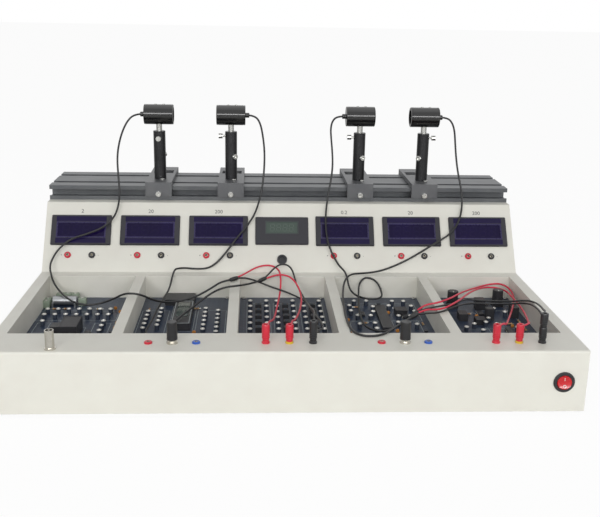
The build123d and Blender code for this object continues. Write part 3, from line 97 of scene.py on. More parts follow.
def spot(across: float, depth: float, height: float) -> Vector:
    """Point in the frame from its place across, its depth from the front and its height.

    Args:
        across: Metres to the right of the middle.
        depth: Metres behind the front face.
        height: Metres above the cabinet's lower edge.

    Returns:
        The point in the frame.
    """
    return Vector((across, FRONT_Y + depth, FLOOR_Z + height))


def on_panel(across: float, up: float, out: float = 0.0) -> Vector:
    """Point on the slanted panel.

    Args:
        across: Metres to the right of the middle.
        up: Metres up the slope from the panel's foot.
        out: Metres out of the panel's face.

    Returns:
        The point in the frame.
    """
    lean = Matrix.Rotation(PANEL_TILT, 3, "X")
    return Vector((0, FRONT_Y + PANEL_DEPTH, DECK_Z)) + lean @ Vector((across, up, out))


def linear(code: str) -> tuple[float, float, float, float]:
    """Linear colour of an sRGB hex code.

    Args:
        code: Six hex digits after a hash sign.

    Returns:
        Red, green, blue and alpha as Blender takes them.
    """
    shares = [int(code[place : place + 2], 16) / 255 for place in (1, 3, 5)]
    bent = [s / 12.92 if s <= 0.04045 else ((s + 0.055) / 1.055) ** 2.4 for s in shares]
    return (bent[0], bent[1], bent[2], 1.0)


def add_node(
    tree: bpy.types.NodeTree,
    kind: str,
    settings: dict[str | int, object] | None = None,
    links: dict[str | int, bpy.types.NodeSocket] | None = None,
) -> bpy.types.Node:
    """Add one shader node with its settings and links.

    Args:
        tree: The node tree it goes into.
        kind: The node's type name.
        settings: Values of its attributes, or of its inputs where no attribute has that name.
        links: Sockets that lead into its inputs.

    Returns:
        The new node.
    """
    made = tree.nodes.new(kind)
    for name, value in (settings or {}).items():
        if isinstance(name, str) and hasattr(made, name):
            setattr(made, name, value)
        else:
            made.inputs[name].default_value = value
    for name, source in (links or {}).items():
        tree.links.new(source, made.inputs[name])
    return made


class Grain(Enum):
    """How a surface's fine marks lie, as the stretch of the pattern along X, Y and Z."""

    EVEN = (1.0, 1.0, 1.0)
    ALONG = (0.02, 1.0, 1.0)
    UPRIGHT = (1.0, 1.0, 0.03)
    TURNED = (1.0, 0.04, 0.04)


@dataclass(frozen=True)
class Finish:
    """A finish with fine grain, a slight drift of tone and a relief of that grain."""

    name: str
    colour: str
    shade: str
    roughness: float
    grain_mm: float
    relief: float
    grain: Grain = Grain.EVEN
    metallic: float = 0.0
    ior: float = 1.5
    coat: float = 0.0
    spread: float = 0.06
    drift_mm: float = 38.0
    alpha: float = 1.0

    def material(self) -> bpy.types.Material:
        """Material of this finish, made once.

        Returns:
            The material, ready to be given to pieces.
        """
        known = bpy.data.materials.get(self.name)
        if known:
            return known
        made = bpy.data.materials.new(self.name)
        made.use_nodes = True
        tree = made.node_tree
        tree.nodes.clear()
        shader = add_node(
            tree,
            "ShaderNodeBsdfPrincipled",
            {"Metallic": self.metallic, "IOR": self.ior, "Coat Weight": self.coat},
        )
        add_node(tree, "ShaderNodeOutputMaterial", links={"Surface": shader.outputs["BSDF"]})
        place = add_node(tree, "ShaderNodeTexCoord")
        self.dress(tree, shader, place.outputs["Object"])
        return made

    def dress(
        self, tree: bpy.types.NodeTree, shader: bpy.types.Node, place: bpy.types.NodeSocket
    ) -> None:
        """Lay colour, roughness and relief on the shader.

        Args:
            tree: The material's node tree.
            shader: Its surface shader.
            place: Socket that gives the place on the object.
        """
        self.lay(tree, shader, place, self.tone(tree, place))

    def tone(
        self, tree: bpy.types.NodeTree, place: bpy.types.NodeSocket
    ) -> bpy.types.NodeSocket:
        """Colour that drifts slowly between the finish's two tones.

        Args:
            tree: The material's node tree.
            place: Socket that gives the place on the object.

        Returns:
            The colour's socket.
        """
        drift = add_node(
            tree,
            "ShaderNodeTexNoise",
            {"Scale": 1 / (self.drift_mm * MM), "Detail": 3.0, "Roughness": 0.55},
            {"Vector": place},
        )
        eased = add_node(
            tree,
            "ShaderNodeMapRange",
            {"From Min": 0.35, "From Max": 0.65},
            {"Value": drift.outputs["Fac"]},
        )
        blend = add_node(
            tree,
            "ShaderNodeMixRGB",
            {"Color1": linear(self.colour), "Color2": linear(self.shade)},
            {"Fac": eased.outputs["Result"]},
        )
        return blend.outputs["Color"]

    def lay(
        self,
        tree: bpy.types.NodeTree,
        shader: bpy.types.Node,
        place: bpy.types.NodeSocket,
        colour: bpy.types.NodeSocket,
    ) -> None:
        """Link a colour and the grain's roughness and relief to the shader.

        Args:
            tree: The material's node tree.
            shader: Its surface shader.
            place: Socket that gives the place on the object.
            colour: Socket that gives the colour.
        """
        stretched = add_node(
            tree, "ShaderNodeMapping", {"Scale": self.grain.value}, {"Vector": place}
        )
        grain = add_node(
            tree,
            "ShaderNodeTexNoise",
            {"Scale": 1 / (self.grain_mm * MM), "Detail": 2.0},
            {"Vector": stretched.outputs["Vector"]},
        )
        rough = add_node(
            tree,
            "ShaderNodeMapRange",
            {
                "From Min": 0.3,
                "From Max": 0.7,
                "To Min": self.roughness - self.spread,
                "To Max": self.roughness + self.spread,
            },
            {"Value": grain.outputs["Fac"]},
        )
        bump = add_node(
            tree,
            "ShaderNodeBump",
            {"Strength": self.relief, "Distance": self.grain_mm * MM * 0.25},
            {"Height": grain.outputs["Fac"]},
        )
        tree.links.new(colour, shader.inputs["Base Color"])
        tree.links.new(rough.outputs["Result"], shader.inputs["Roughness"])
        tree.links.new(bump.outputs["Normal"], shader.inputs["Normal"])


@dataclass(frozen=True)
class BoardFinish(Finish):
    """Solder mask over copper tracks that show as slightly lighter lines."""

    track: str = "#3C4C5C"
    pitch_mm: float = 7.6

    def tone(
        self, tree: bpy.types.NodeTree, place: bpy.types.NodeSocket
    ) -> bpy.types.NodeSocket:
        """Mask colour crossed by tracks at right angles.

        Args:
            tree: The material's node tree.
            place: Socket that gives the place on the object.

        Returns:
            The colour's socket.
        """
        mask = super().tone(tree, place)
        tracks = add_node(
            tree,
            "ShaderNodeTexBrick",
            {
                "Color1": (0.0, 0.0, 0.0, 1.0),
                "Color2": (0.0, 0.0, 0.0, 1.0),
                "Mortar": (1.0, 1.0, 1.0, 1.0),
                "Scale": 1 / (self.pitch_mm * MM),
                "Mortar Size": 0.05,
                "Mortar Smooth": 0.2,
                "Brick Width": 1.9,
                "Row Height": 0.62,
            },
            {"Vector": place},
        )
        return add_node(
            tree,
            "ShaderNodeMixRGB",
            {"Color2": linear(self.track)},
            {"Fac": tracks.outputs["Color"], "Color1": mask},
        ).outputs["Color"]


@dataclass(frozen=True)
class WindowFinish(Finish):
    """Tinted windows of the panel meters, where the middle one is a grey-green display."""

    middle: str = "#4F5B55"
    reach: float = 0.03

    def tone(
        self, tree: bpy.types.NodeTree, place: bpy.types.NodeSocket
    ) -> bpy.types.NodeSocket:
        """Tint of the side windows, changed for the display in the middle.

        Args:
            tree: The material's node tree.
            place: Socket that gives the place on the object.

        Returns:
            The colour's socket.
        """
        tint = super().tone(tree, place)
        parts = add_node(tree, "ShaderNodeSeparateXYZ", links={"Vector": place})
        away = add_node(tree, "ShaderNodeMath", {"operation": "ABSOLUTE"}, {0: parts.outputs["X"]})
        inside = add_node(
            tree, "ShaderNodeMath", {"operation": "LESS_THAN", 1: self.reach}, {0: away.outputs[0]}
        )
        return add_node(
            tree,
            "ShaderNodeMixRGB",
            {"Color2": linear(self.middle)},
            {"Fac": inside.outputs[0], "Color1": tint},
        ).outputs["Color"]


# Polyester powder coat on sheet steel: a soft sheen with a faint orange peel
PAINT = Finish("powder_coat_ivory", "#E1E0D7", "#DEDCD3", 0.46, 1.6, 0.10)
# The same coat inside the wells, a shade deeper where less light gets in
PAINT_INSIDE = Finish("powder_coat_well", "#E0DED5", "#D8D6CC", 0.50, 1.6, 0.10)
# Clear-anodised extrusion: grey metal with lines along its length
RAIL_GREY = Finish(
    "anodised_extrusion", "#66686A", "#5D5F62", 0.42, 0.9, 0.10, Grain.ALONG, metallic=0.75
)
# Milled and anodised aluminium: the same grey, a little finer and lighter than the rail
CARRIAGE_GREY = Finish(
    "anodised_milled", "#6A6B6D", "#616265", 0.44, 0.7, 0.12, metallic=0.7
)
# Black-anodised tube: satin, so that a lamp draws a soft line down it
POST_BLACK = Finish(
    "anodised_black_tube", "#3A3A3C", "#303032", 0.28, 0.6, 0.03, Grain.UPRIGHT, metallic=0.7
)
# Turned black acetal, nearly glossy, with rings too fine to count
HEAD_BLACK = Finish(
    "acetal_black_turned", "#121213", "#0E0E0F", 0.15, 0.5, 0.01, Grain.TURNED, coat=0.35, ior=1.5
)
# Polished stainless screws and rods: bright, with soft dark reflections
STEEL = Finish(
    "stainless_polished", "#C9C9C6", "#BDBDB9", 0.24, 0.5, 0.05, metallic=1.0, drift_mm=9.0
)
# Nickel plate on sockets and pins: warm and bright
NICKEL = Finish("nickel_plate", "#CFCCC4", "#C4C0B6", 0.22, 0.6, 0.04, metallic=1.0)
# Turned brass pillars: yellow metal with a dull shine
BRASS = Finish("brass_turned", "#B99A55", "#A98A48", 0.32, 0.5, 0.05, metallic=1.0)
# Zinc-plated sheet: grey metal with a cloudy shine
ZINC = Finish("zinc_plate", "#A9ABAC", "#9A9C9E", 0.38, 1.8, 0.06, metallic=0.9)
# Moulded rubber feet: matt and nearly black
RUBBER = Finish("rubber_foot", "#262628", "#1E1E20", 0.78, 0.8, 0.18)
# Solder mask on glass-fibre board: satin blue-grey over faint tracks
MASK = BoardFinish("solder_mask_slate", "#232F45", "#1B263B", 0.36, 1.2, 0.08)
# Moulded stems under the eyelets, painted dark slate as the shade beneath each eyelet, near the
# tint of the board around them
STEM_PAINTED_SHADE = Finish("stem_painted_shade", "#333B49", "#2B323F", 0.50, 0.8, 0.10)
# Moulded charcoal plastic with a fine spark-eroded grain
BLACK_ABS = Finish("abs_charcoal", "#2A2A2D", "#242427", 0.44, 0.8, 0.12)
# Meter bezels: near-black plastic, a touch violet beside the windows
HOUSING = Finish("abs_meter_bezel", "#201F27", "#1C1B22", 0.46, 0.8, 0.08)
# Tinted acrylic: smooth, very dark violet, with a weak reflection
WINDOW = WindowFinish("acrylic_tinted", "#150A38", "#130932", 0.14, 4.0, 0.01, ior=1.25)
# Moulded nylon of plugs and sockets, in four colours: plain, with a soft highlight
RED_PLASTIC = Finish("nylon_red", "#CB2238", "#BA1B30", 0.34, 0.9, 0.05, coat=0.15)
BLACK_PLASTIC = Finish("nylon_black", "#1D1D1F", "#17171A", 0.34, 0.9, 0.05, coat=0.15)
BLUE_PLASTIC = Finish("nylon_blue", "#2B5FC0", "#2553AC", 0.34, 0.9, 0.05, coat=0.15)
YELLOW_PLASTIC = Finish("nylon_yellow", "#D9B62E", "#CBA726", 0.34, 0.9, 0.05, coat=0.15)
# Clear-coated red polycarbonate: glossy, as if lit a little from inside
ROCKER_RED = Finish("polycarbonate_red", "#D3141E", "#BE0F19", 0.20, 1.2, 0.02, coat=0.4)
# Soft vinyl sheath: satin, with a long thin highlight
CABLE_BLACK = Finish("pvc_sheath_black", "#19191B", "#131315", 0.40, 1.1, 0.06)
CABLE_RED = Finish("pvc_sheath_red", "#DB2C4A", "#CB223F", 0.38, 1.1, 0.05)
# Smoked acrylic with what lies behind it: darker digits and lighter stepped edges
STEP_TINT = Finish("acrylic_step", "#22164F", "#1D1244", 0.30, 2.0, 0.02)
# Unlit segments: they barely stand out from the window
DIGIT_TINT = Finish("segment_unlit", "#180D3C", "#150A35", 0.16, 2.0, 0.01, ior=1.28)
# Dark rim round the grey-green display
LUX_EDGE = Finish("display_edge", "#33383A", "#2D3234", 0.40, 1.5, 0.04)
# Unlit digits of the grey-green display, just darker than it
LUX_DIGIT = Finish("display_unlit_digit", "#4E5B53", "#49564E", 0.35, 1.5, 0.02)
# Screen-printed ink: flat and dark
PRINT = Finish("screen_ink", "#4A4A4C", "#434345", 0.60, 0.9, 0.02)
# Small moulded lens of the head, dark as seen from outside
LENS = Finish("lens_moulded", "#1E1418", "#1A1014", 0.06, 3.0, 0.0, coat=0.6)
# Tinned eyelets, bright but scuffed
EYELET = Finish("tinned_eyelet", "#E6E5E0", "#D2D1CB", 0.34, 0.6, 0.05, metallic=0.6)
# Board print: thin pale ink
SILK = Finish("board_ink", "#AEB6B6", "#9DA6A7", 0.62, 0.7, 0.02)
# Lacquered resistors: tan, with dark red-brown rings
RESISTOR_TAN = Finish("resistor_lacquer", "#B79B6C", "#A98D5F", 0.42, 0.7, 0.04)
RESISTOR_BAND = Finish("resistor_band", "#7A2B1E", "#6B2519", 0.45, 0.7, 0.03)
# Shrunk film on the upright cans: dark blue-black, slightly glossy
CAN_SLEEVE = Finish("capacitor_sleeve", "#20262E", "#1B2027", 0.32, 0.7, 0.04)
# Dipped ceramic discs: matt ochre
DISC_OCHRE = Finish("capacitor_ceramic", "#B5762C", "#A56A26", 0.48, 0.7, 0.05)
# Glass of the small unlit display: smooth grey-green
GLASS_GREEN = Finish("display_glass_green", "#33413C", "#2C3935", 0.20, 2.0, 0.01)
# Rotors of the adjusters: dark slate plastic
TRIMMER_BLUE = Finish("trimmer_rotor", "#2E3A44", "#27323B", 0.40, 0.6, 0.05)
# Terminal blocks: pale green-grey moulding
TERMINAL = Finish("terminal_polyamide", "#8F9C8A", "#84917F", 0.50, 1.0, 0.10)
# White inlay of the knobs and the switch: matt
POINTER = Finish("pointer_white", "#DAD9D2", "#CFCEC6", 0.50, 0.8, 0.03)
# Tinted front sheet over and under the display, a little lighter than its middle
SHADE = Finish("acrylic_tinted_rim", "#1B113F", "#170E37", 0.18, 4.0, 0.01, ior=1.3)

FINISHES: dict[str, Finish] = {
    "console_body": PAINT,
    "bottom_plate": PAINT,
    "rear_panel": PAINT,
    "well_frames": PAINT_INSIDE,
    "rubber_feet": RUBBER,
    "case_screws": STEEL,
    "circuit_boards": MASK,
    "board_pillars": BRASS,
    # Stems of the test points, painted dark for the shade under their eyelets
    "test_points": STEM_PAINTED_SHADE,
    "component_blocks": BLACK_ABS,
    "metal_module": ZINC,
    "trim_knob_left": BLACK_ABS,
    "trim_knob_right": BLACK_ABS,
    "meter_housings": HOUSING,
    "meter_windows": WINDOW,
    "jacks_red": RED_PLASTIC,
    "jacks_black": BLACK_PLASTIC,
    "jacks_blue": BLUE_PLASTIC,
    "jacks_yellow": YELLOW_PLASTIC,
    "probe_socket": BLACK_ABS,
    "coax_sockets": NICKEL,
    "coax_caps": BLACK_PLASTIC,
    "switch_bezel": BLACK_ABS,
    "power_rocker": ROCKER_RED,
    "power_inlet": BLACK_ABS,
    "power_supply": ZINC,
    "slide_rail": RAIL_GREY,
    "cord_splitters": CABLE_BLACK,
    "red_plugs": RED_PLASTIC,
    "black_plugs": BLACK_PLASTIC,
    "red_leads": CABLE_RED,
    "black_leads": CABLE_BLACK,
    **{f"carriage_{n}": CARRIAGE_GREY for n in (1, 2, 3, 4)},
    **{f"post_{n}": POST_BLACK for n in (1, 2, 3, 4)},
    **{f"carriage_screws_{n}": STEEL for n in (1, 2, 3, 4)},
    **{f"lock_screw_{n}": STEEL for n in (1, 2, 3, 4)},
    **{f"rod_{n}": STEEL for n in (1, 2, 3, 4)},
    **{f"barrel_{n}": HEAD_BLACK for n in (1, 2, 3, 4)},
    **{f"sensor_cord_{n}": CABLE_BLACK for n in (1, 2, 3, 4)},
}

# Control points of the cords: across, depth from the front, height over the cabinet's edge
CORD_ROUTES: tuple[Route, ...] = (
    (
        (-0.2045, 0.3787, 0.2676), (-0.213, 0.3758, 0.2595), (-0.2195, 0.369, 0.246),
        (-0.224, 0.361, 0.229), (-0.2255, 0.352, 0.211), (-0.2235, 0.3435, 0.188),
        (-0.221, 0.3355, 0.162), (-0.2245, 0.32, 0.1395), (-0.239, 0.3105, 0.125),
        (-0.261, 0.3055, 0.1165), (-0.283, 0.301, 0.111), (-0.299, 0.292, 0.099),
        (-0.3075, 0.2815, 0.084), (-0.3065, 0.271, 0.0775), (-0.3035, 0.2615, 0.0745),
        (-0.3005, 0.256, 0.066), (-0.291, 0.244, 0.057), (-0.277, 0.219, 0.056),
        (-0.262, 0.2, 0.0545),
        (-0.244, 0.1965, 0.0525), (-0.227, 0.202, 0.054), (-0.212, 0.193, 0.0625),
        (-0.199, 0.1815, 0.0725), (-0.187, 0.1745, 0.076), (-0.175, 0.178, 0.0725),
        (-0.162, 0.1905, 0.061), (-0.147, 0.206, 0.053), (-0.13, 0.216, 0.052),
        (-0.112, 0.2225, 0.0555), (-0.095, 0.227, 0.064), (-0.083, 0.2295, 0.0715),
        (-0.0755, 0.2318, 0.0736), (-0.0695, 0.236, 0.0734),
    ),
    (
        (-0.0365, 0.3787, 0.2676), (-0.03, 0.3748, 0.259), (-0.0265, 0.366, 0.2445),
        (-0.0238, 0.355, 0.223), (-0.0242, 0.3445, 0.201), (-0.026, 0.3395, 0.181),
        (-0.0293, 0.3355, 0.1625), (-0.036, 0.3215, 0.143), (-0.047, 0.3125, 0.127),
        (-0.06, 0.303, 0.114), (-0.073, 0.294, 0.098), (-0.086, 0.286, 0.0835),
        (-0.099, 0.2812, 0.0755), (-0.116, 0.2805, 0.075), (-0.13, 0.283, 0.0757),
        (-0.139, 0.2765, 0.077), (-0.143, 0.2675, 0.078), (-0.1455, 0.258, 0.0705),
        (-0.1475, 0.253, 0.061), (-0.15, 0.24, 0.0555), (-0.154, 0.214, 0.054),
        (-0.158, 0.18, 0.052),
        (-0.16, 0.145, 0.051), (-0.163, 0.123, 0.0505), (-0.1635, 0.109, 0.0505),
        (-0.1595, 0.0975, 0.0505), (-0.1495, 0.0925, 0.0505), (-0.1405, 0.0985, 0.0505),
        (-0.137, 0.11, 0.0505), (-0.135, 0.127, 0.051), (-0.129, 0.15, 0.053),
        (-0.118, 0.175, 0.054),
        (-0.105, 0.196, 0.0585), (-0.092, 0.203, 0.0665), (-0.08, 0.2005, 0.0735),
        (-0.0695, 0.2, 0.0763), (-0.059, 0.2045, 0.076), (-0.0495, 0.2135, 0.0746),
        (-0.0405, 0.226, 0.0726), (-0.0319, 0.2394, 0.071),
    ),
    (
        (0.0765, 0.3787, 0.268), (0.0705, 0.3755, 0.262), (0.0679, 0.369, 0.2525),
        (0.0685, 0.361, 0.239), (0.0697, 0.354, 0.224), (0.0703, 0.3475, 0.208),
        (0.069, 0.342, 0.1924),
        (0.0653, 0.338, 0.1721), (0.0615, 0.3302, 0.15), (0.0598, 0.3176, 0.1333),
        (0.0603, 0.3067, 0.1181), (0.0634, 0.2975, 0.1034), (0.0705, 0.2889, 0.0892),
        (0.0765, 0.283, 0.08), (0.0805, 0.2745, 0.0775), (0.0835, 0.2655, 0.076),
        (0.086, 0.2575, 0.0695), (0.0875, 0.2535, 0.0605), (0.091, 0.248, 0.0535),
        (0.099, 0.2405, 0.0496), (0.1105, 0.2335, 0.049), (0.1215, 0.2325, 0.049),
        (0.1295, 0.2385, 0.049), (0.132, 0.2485, 0.0505), (0.1305, 0.257, 0.0555),
        (0.127, 0.2613, 0.0625), (0.1195, 0.262, 0.068), (0.1105, 0.262, 0.0695),
        (0.104, 0.2605, 0.0645), (0.101, 0.2535, 0.0585), (0.1, 0.2445, 0.0555),
        (0.0985, 0.231, 0.0525), (0.0968, 0.214, 0.05), (0.095, 0.193, 0.0495),
        (0.0937, 0.168, 0.0495),
        (0.0938, 0.141, 0.0495), (0.0975, 0.124, 0.0495), (0.1065, 0.1145, 0.0495),
        (0.1175, 0.1135, 0.0495), (0.128, 0.12, 0.0505), (0.1385, 0.126, 0.0545),
        (0.149, 0.131, 0.0595),
    ),
    (
        (0.234, 0.3787, 0.268), (0.24, 0.3752, 0.2615), (0.2423, 0.3685, 0.251),
        (0.2422, 0.3605, 0.2375), (0.2428, 0.353, 0.2195), (0.245, 0.346, 0.199),
        (0.2492, 0.3395, 0.179), (0.2516, 0.337, 0.1645), (0.2513, 0.3315, 0.15),
        (0.247, 0.3215, 0.1363), (0.2391, 0.3126, 0.1246), (0.2277, 0.3056, 0.1155),
        (0.2105, 0.2998, 0.1073), (0.1921, 0.2942, 0.0972), (0.1722, 0.2891, 0.0868),
        (0.155, 0.284, 0.08), (0.138, 0.2785, 0.075), (0.121, 0.2725, 0.073),
        (0.105, 0.2655, 0.074),
        (0.092, 0.255, 0.0765), (0.083, 0.24, 0.0765), (0.0776, 0.221, 0.074),
        (0.074, 0.196, 0.072),
        (0.071, 0.165, 0.0715), (0.0692, 0.132, 0.0715), (0.0683, 0.099, 0.0715),
        (0.0691, 0.07, 0.0715), (0.0735, 0.0505, 0.0715), (0.0812, 0.042, 0.0715),
        (0.091, 0.0405, 0.0715), (0.1018, 0.044, 0.0715), (0.112, 0.054, 0.072),
        (0.1225, 0.071, 0.0715), (0.133, 0.087, 0.071), (0.144, 0.101, 0.071),
    ),
)
RED_ROUTES: tuple[Route, ...] = (
    (
        (-0.055, 0.2535, 0.074), (-0.0465, 0.266, 0.075), (-0.0355, 0.278, 0.078),
        (-0.0235, 0.284, 0.0795), (-0.013, 0.2815, 0.0795), (-0.0063, 0.273, 0.0775),
        (-0.0033, 0.2625, 0.0755), (-0.0024, 0.256, 0.0665), (-0.003, 0.249, 0.0565),
        (-0.0055, 0.229, 0.051), (-0.009, 0.194, 0.0508), (-0.012, 0.157, 0.054),
        (-0.0145, 0.122, 0.062), (-0.0165, 0.094, 0.0705), (-0.0184, 0.073, 0.0775),
        (-0.0204, 0.0525, 0.0848),
    ),
    (
        (-0.0092, 0.2554, 0.0748), (0.0019, 0.2529, 0.0756), (0.0108, 0.2462, 0.074),
        (0.0178, 0.2363, 0.0684), (0.0217, 0.2203, 0.0626), (0.0222, 0.1961, 0.06),
        (0.0186, 0.1582, 0.0615), (0.013, 0.1148, 0.068), (0.008, 0.08, 0.0755),
        (0.005, 0.062, 0.0818),
        (0.004, 0.0505, 0.086),
    ),
    (
        (0.165, 0.1435, 0.0695), (0.173, 0.1435, 0.0728), (0.182, 0.143, 0.0743),
        (0.193, 0.1495, 0.0752), (0.2057, 0.1644, 0.074), (0.2196, 0.19, 0.07),
        (0.2342, 0.2148, 0.0658), (0.2507, 0.2373, 0.062), (0.2668, 0.2531, 0.0605),
        (0.2813, 0.2619, 0.0605), (0.2939, 0.2622, 0.061), (0.3016, 0.2517, 0.0596),
        (0.3026, 0.2307, 0.0576), (0.2964, 0.2038, 0.0576), (0.2858, 0.1726, 0.059),
        (0.2714, 0.1329, 0.064), (0.2566, 0.0922, 0.0715), (0.2467, 0.0633, 0.0785),
        (0.2385, 0.0415, 0.0845),
    ),
    (
        (0.1659, 0.123, 0.0736), (0.1751, 0.118, 0.0746), (0.1865, 0.1212, 0.075),
        (0.2004, 0.1356, 0.0755), (0.2168, 0.1618, 0.0732), (0.2333, 0.1958, 0.0686),
        (0.2533, 0.2317, 0.063), (0.2702, 0.2489, 0.0602), (0.2848, 0.2484, 0.06),
        (0.2946, 0.2336, 0.06), (0.2945, 0.2086, 0.0606), (0.293, 0.1814, 0.0626),
        (0.2893, 0.149, 0.066), (0.282, 0.1099, 0.0715), (0.2753, 0.0812, 0.0765),
        (0.2683, 0.0565, 0.0815), (0.2657, 0.0458, 0.0856),
    ),
)
BLACK_ROUTES: tuple[Route, ...] = (
    (
        (-0.0528, 0.246, 0.0738), (-0.0426, 0.2469, 0.0716), (-0.0321, 0.2504, 0.0668),
        (-0.0169, 0.2475, 0.061), (-0.0005, 0.2429, 0.057), (0.0166, 0.2309, 0.0536),
        (0.0263, 0.2175, 0.052), (0.0307, 0.1983, 0.0535), (0.0325, 0.1714, 0.058),
        (0.0323, 0.1326, 0.066), (0.0343, 0.092, 0.075), (0.036, 0.066, 0.0803),
        (0.0364, 0.049, 0.082),
    ),
    (
        (-0.0175, 0.259, 0.0758), (-0.0105, 0.2685, 0.0808), (-0.002, 0.276, 0.0835),
        (0.0065, 0.275, 0.083), (0.0124, 0.267, 0.0795), (0.0156, 0.2575, 0.0715),
        (0.0178, 0.2495, 0.0635), (0.0224, 0.2375, 0.058), (0.025, 0.2164, 0.0578),
        (0.0273, 0.1932, 0.059), (0.029, 0.155, 0.0655), (0.031, 0.124, 0.0735),
        (0.0308, 0.09, 0.082),
        (0.029, 0.065, 0.0875), (0.0276, 0.052, 0.0896),
    ),
    (
        (0.168, 0.1395, 0.068), (0.1775, 0.136, 0.0716), (0.1875, 0.1365, 0.0732),
        (0.199, 0.144, 0.0724), (0.21, 0.157, 0.069), (0.2279, 0.1873, 0.0648),
        (0.2458, 0.1863, 0.063),
        (0.2656, 0.1829, 0.0634), (0.2815, 0.172, 0.0665), (0.2931, 0.1653, 0.07),
        (0.3001, 0.1514, 0.0745), (0.2994, 0.1257, 0.0804), (0.2944, 0.0953, 0.087),
        (0.2866, 0.062, 0.094), (0.2838, 0.0505, 0.098),
    ),
    (
        (0.1653, 0.1127, 0.0725), (0.1769, 0.1144, 0.0719), (0.1902, 0.1238, 0.0718),
        (0.2081, 0.1491, 0.0685), (0.2276, 0.173, 0.0636), (0.2464, 0.1771, 0.0622),
        (0.2639, 0.174, 0.063), (0.28, 0.1643, 0.066), (0.2915, 0.1576, 0.0695),
        (0.2969, 0.143, 0.0735), (0.2958, 0.1185, 0.0785), (0.2915, 0.0902, 0.0835),
        (0.2874, 0.0677, 0.0855), (0.284, 0.0509, 0.087),
    ),
)
SPLITTER_ENDS: tuple[tuple[Point, Point], ...] = (
    ((-0.0695, 0.236, 0.0734), (-0.05986, 0.24615, 0.0734)),
    ((-0.0319, 0.2394, 0.071), (-0.02263, 0.24985, 0.07194)),
    ((0.149, 0.131, 0.0595), (0.1589, 0.13892, 0.06544)),
    ((0.144, 0.101, 0.071), (0.15386, 0.11086, 0.07223)),
)

# Test points of each board: across from its middle and depth from the front, in millimetres
Spots = tuple[tuple[float, float], ...]
POINTS_1 = tuple((-46 + 13 * n, 201 - 20 * row) for n in range(7) for row in range(2))
POINTS_2 = tuple((x, top - 14.8 * n) for x, top in ((-45, 193), (-29.5, 203)) for n in range(5))
# Middle board: three groups of columns in a grid, in millimetres
GRID_PITCH = 34.3
GRID_SHIFT = 2.0
GRID_ROW = 20.6
GRID_LAST = 233.0
POINTS_3 = tuple(
    (GRID_PITCH * group + side * 10.3 + GRID_SHIFT, GRID_LAST - GRID_ROW * row)
    for group in (-1, 0, 1)
    for side in (-1, 1)
    for row in range(6)
)
TEST_POINTS: tuple[Spots, ...] = (
    POINTS_1 + ((-43, 158), (30, 158), (30, 142), (30, 126)),
    POINTS_2 + tuple((x, top - 14.8 * n) for x, top in ((26, 204), (42, 196)) for n in range(6)),
    POINTS_3,
    ((-32, 233), (-16, 233), (18, 232), (33, 232), (-40, 215), (-10, 211), (40, 213), (-40, 195),
     (11, 214), (-12, 192), (41, 193), (-33, 178), (-17, 177), (18, 176), (33, 176), (-34, 147),
     (-15, 150), (14, 153), (36, 146), (-15, 132)),
    ((21, 204), (32, 190), (5, 168), (-2, 153), (-18, 147), (10, 147), (-30, 136), (-12, 126),
     (32, 135)),
)
# Printed frames of each board: middle across, middle depth, width and depth in millimetres
Rows = tuple[tuple[float, ...], ...]
OUTLINES: tuple[Rows, ...] = (
    ((-7, 191, 98, 33), (-3.5, 129, 27, 44), (28, 142, 20, 48), (-43, 150, 16, 34),
     (-31, 232, 44, 40)),
    ((-37, 170, 34, 82), (34, 166, 36, 92), (-1.5, 182, 30, 92), (-2, 90, 96, 44)),
    ((-32, 181, 30, 116), (2, 181, 30, 116), (36, 181, 30, 116), (2, 92, 98, 36)),
    ((-25, 206, 46, 66), (26, 206, 44, 66), (-24, 148, 40, 46), (26, 152, 34, 44), (0, 88, 92, 40)),
    ((-22, 172, 38, 62), (22, 178, 46, 66), (-20, 132, 40, 26), (28, 226, 40, 30)),
)
# Resistors of each board: across, depth, and whether they lie across the board
RESISTORS: tuple[Rows, ...] = (
    ((-40, 215, 1), (-26, 215, 1), (16, 214, 1), (44, 165, 0), (44, 148, 0), (-28, 110, 1),
     (20, 104, 1), (-46, 120, 0), (38, 88, 1), (5, 88, 1)),
    ((-44, 100, 1), (-28, 100, 1), (20, 96, 1), (36, 96, 1), (14, 216, 1), (-14, 118, 1),
     (6, 118, 1), (34, 110, 1), (-46, 212, 0)),
    ((-40, 96, 1), (-24, 96, 1), (-8, 96, 1), (10, 96, 1), (28, 96, 1), (44, 96, 1), (-46, 78, 0),
     (-30, 82, 1), (4, 82, 1), (36, 82, 1)),
    ((-30, 222, 1), (22, 218, 1), (-26, 163, 1), (24, 164, 1), (-30, 104, 1), (-8, 100, 1),
     (10, 100, 1), (34, 104, 1), (46, 160, 0), (-46, 128, 0)),
    ((-40, 160, 0), (-44, 190, 0), (16, 160, 1), (30, 160, 1), (44, 140, 0), (20, 118, 1),
     (-30, 112, 1), (0, 110, 1), (44, 168, 0), (-14, 196, 1)),
)
# Chips of each board: across, depth and number of legs
CHIPS: tuple[Rows, ...] = (
    ((16, 126, 8), (28, 100, 14), (-40, 90, 8)),
    ((-38, 84, 14), (30, 80, 8), (0, 84, 16)),
    ((-32, 68, 8), (4, 70, 8), (36, 68, 8)),
    ((-26, 194, 8), (28, 186, 8), (-26, 84, 14), (22, 84, 14)),
    ((22, 132, 14), (-20, 92, 8), (20, 92, 14), (2, 196, 8)),
)
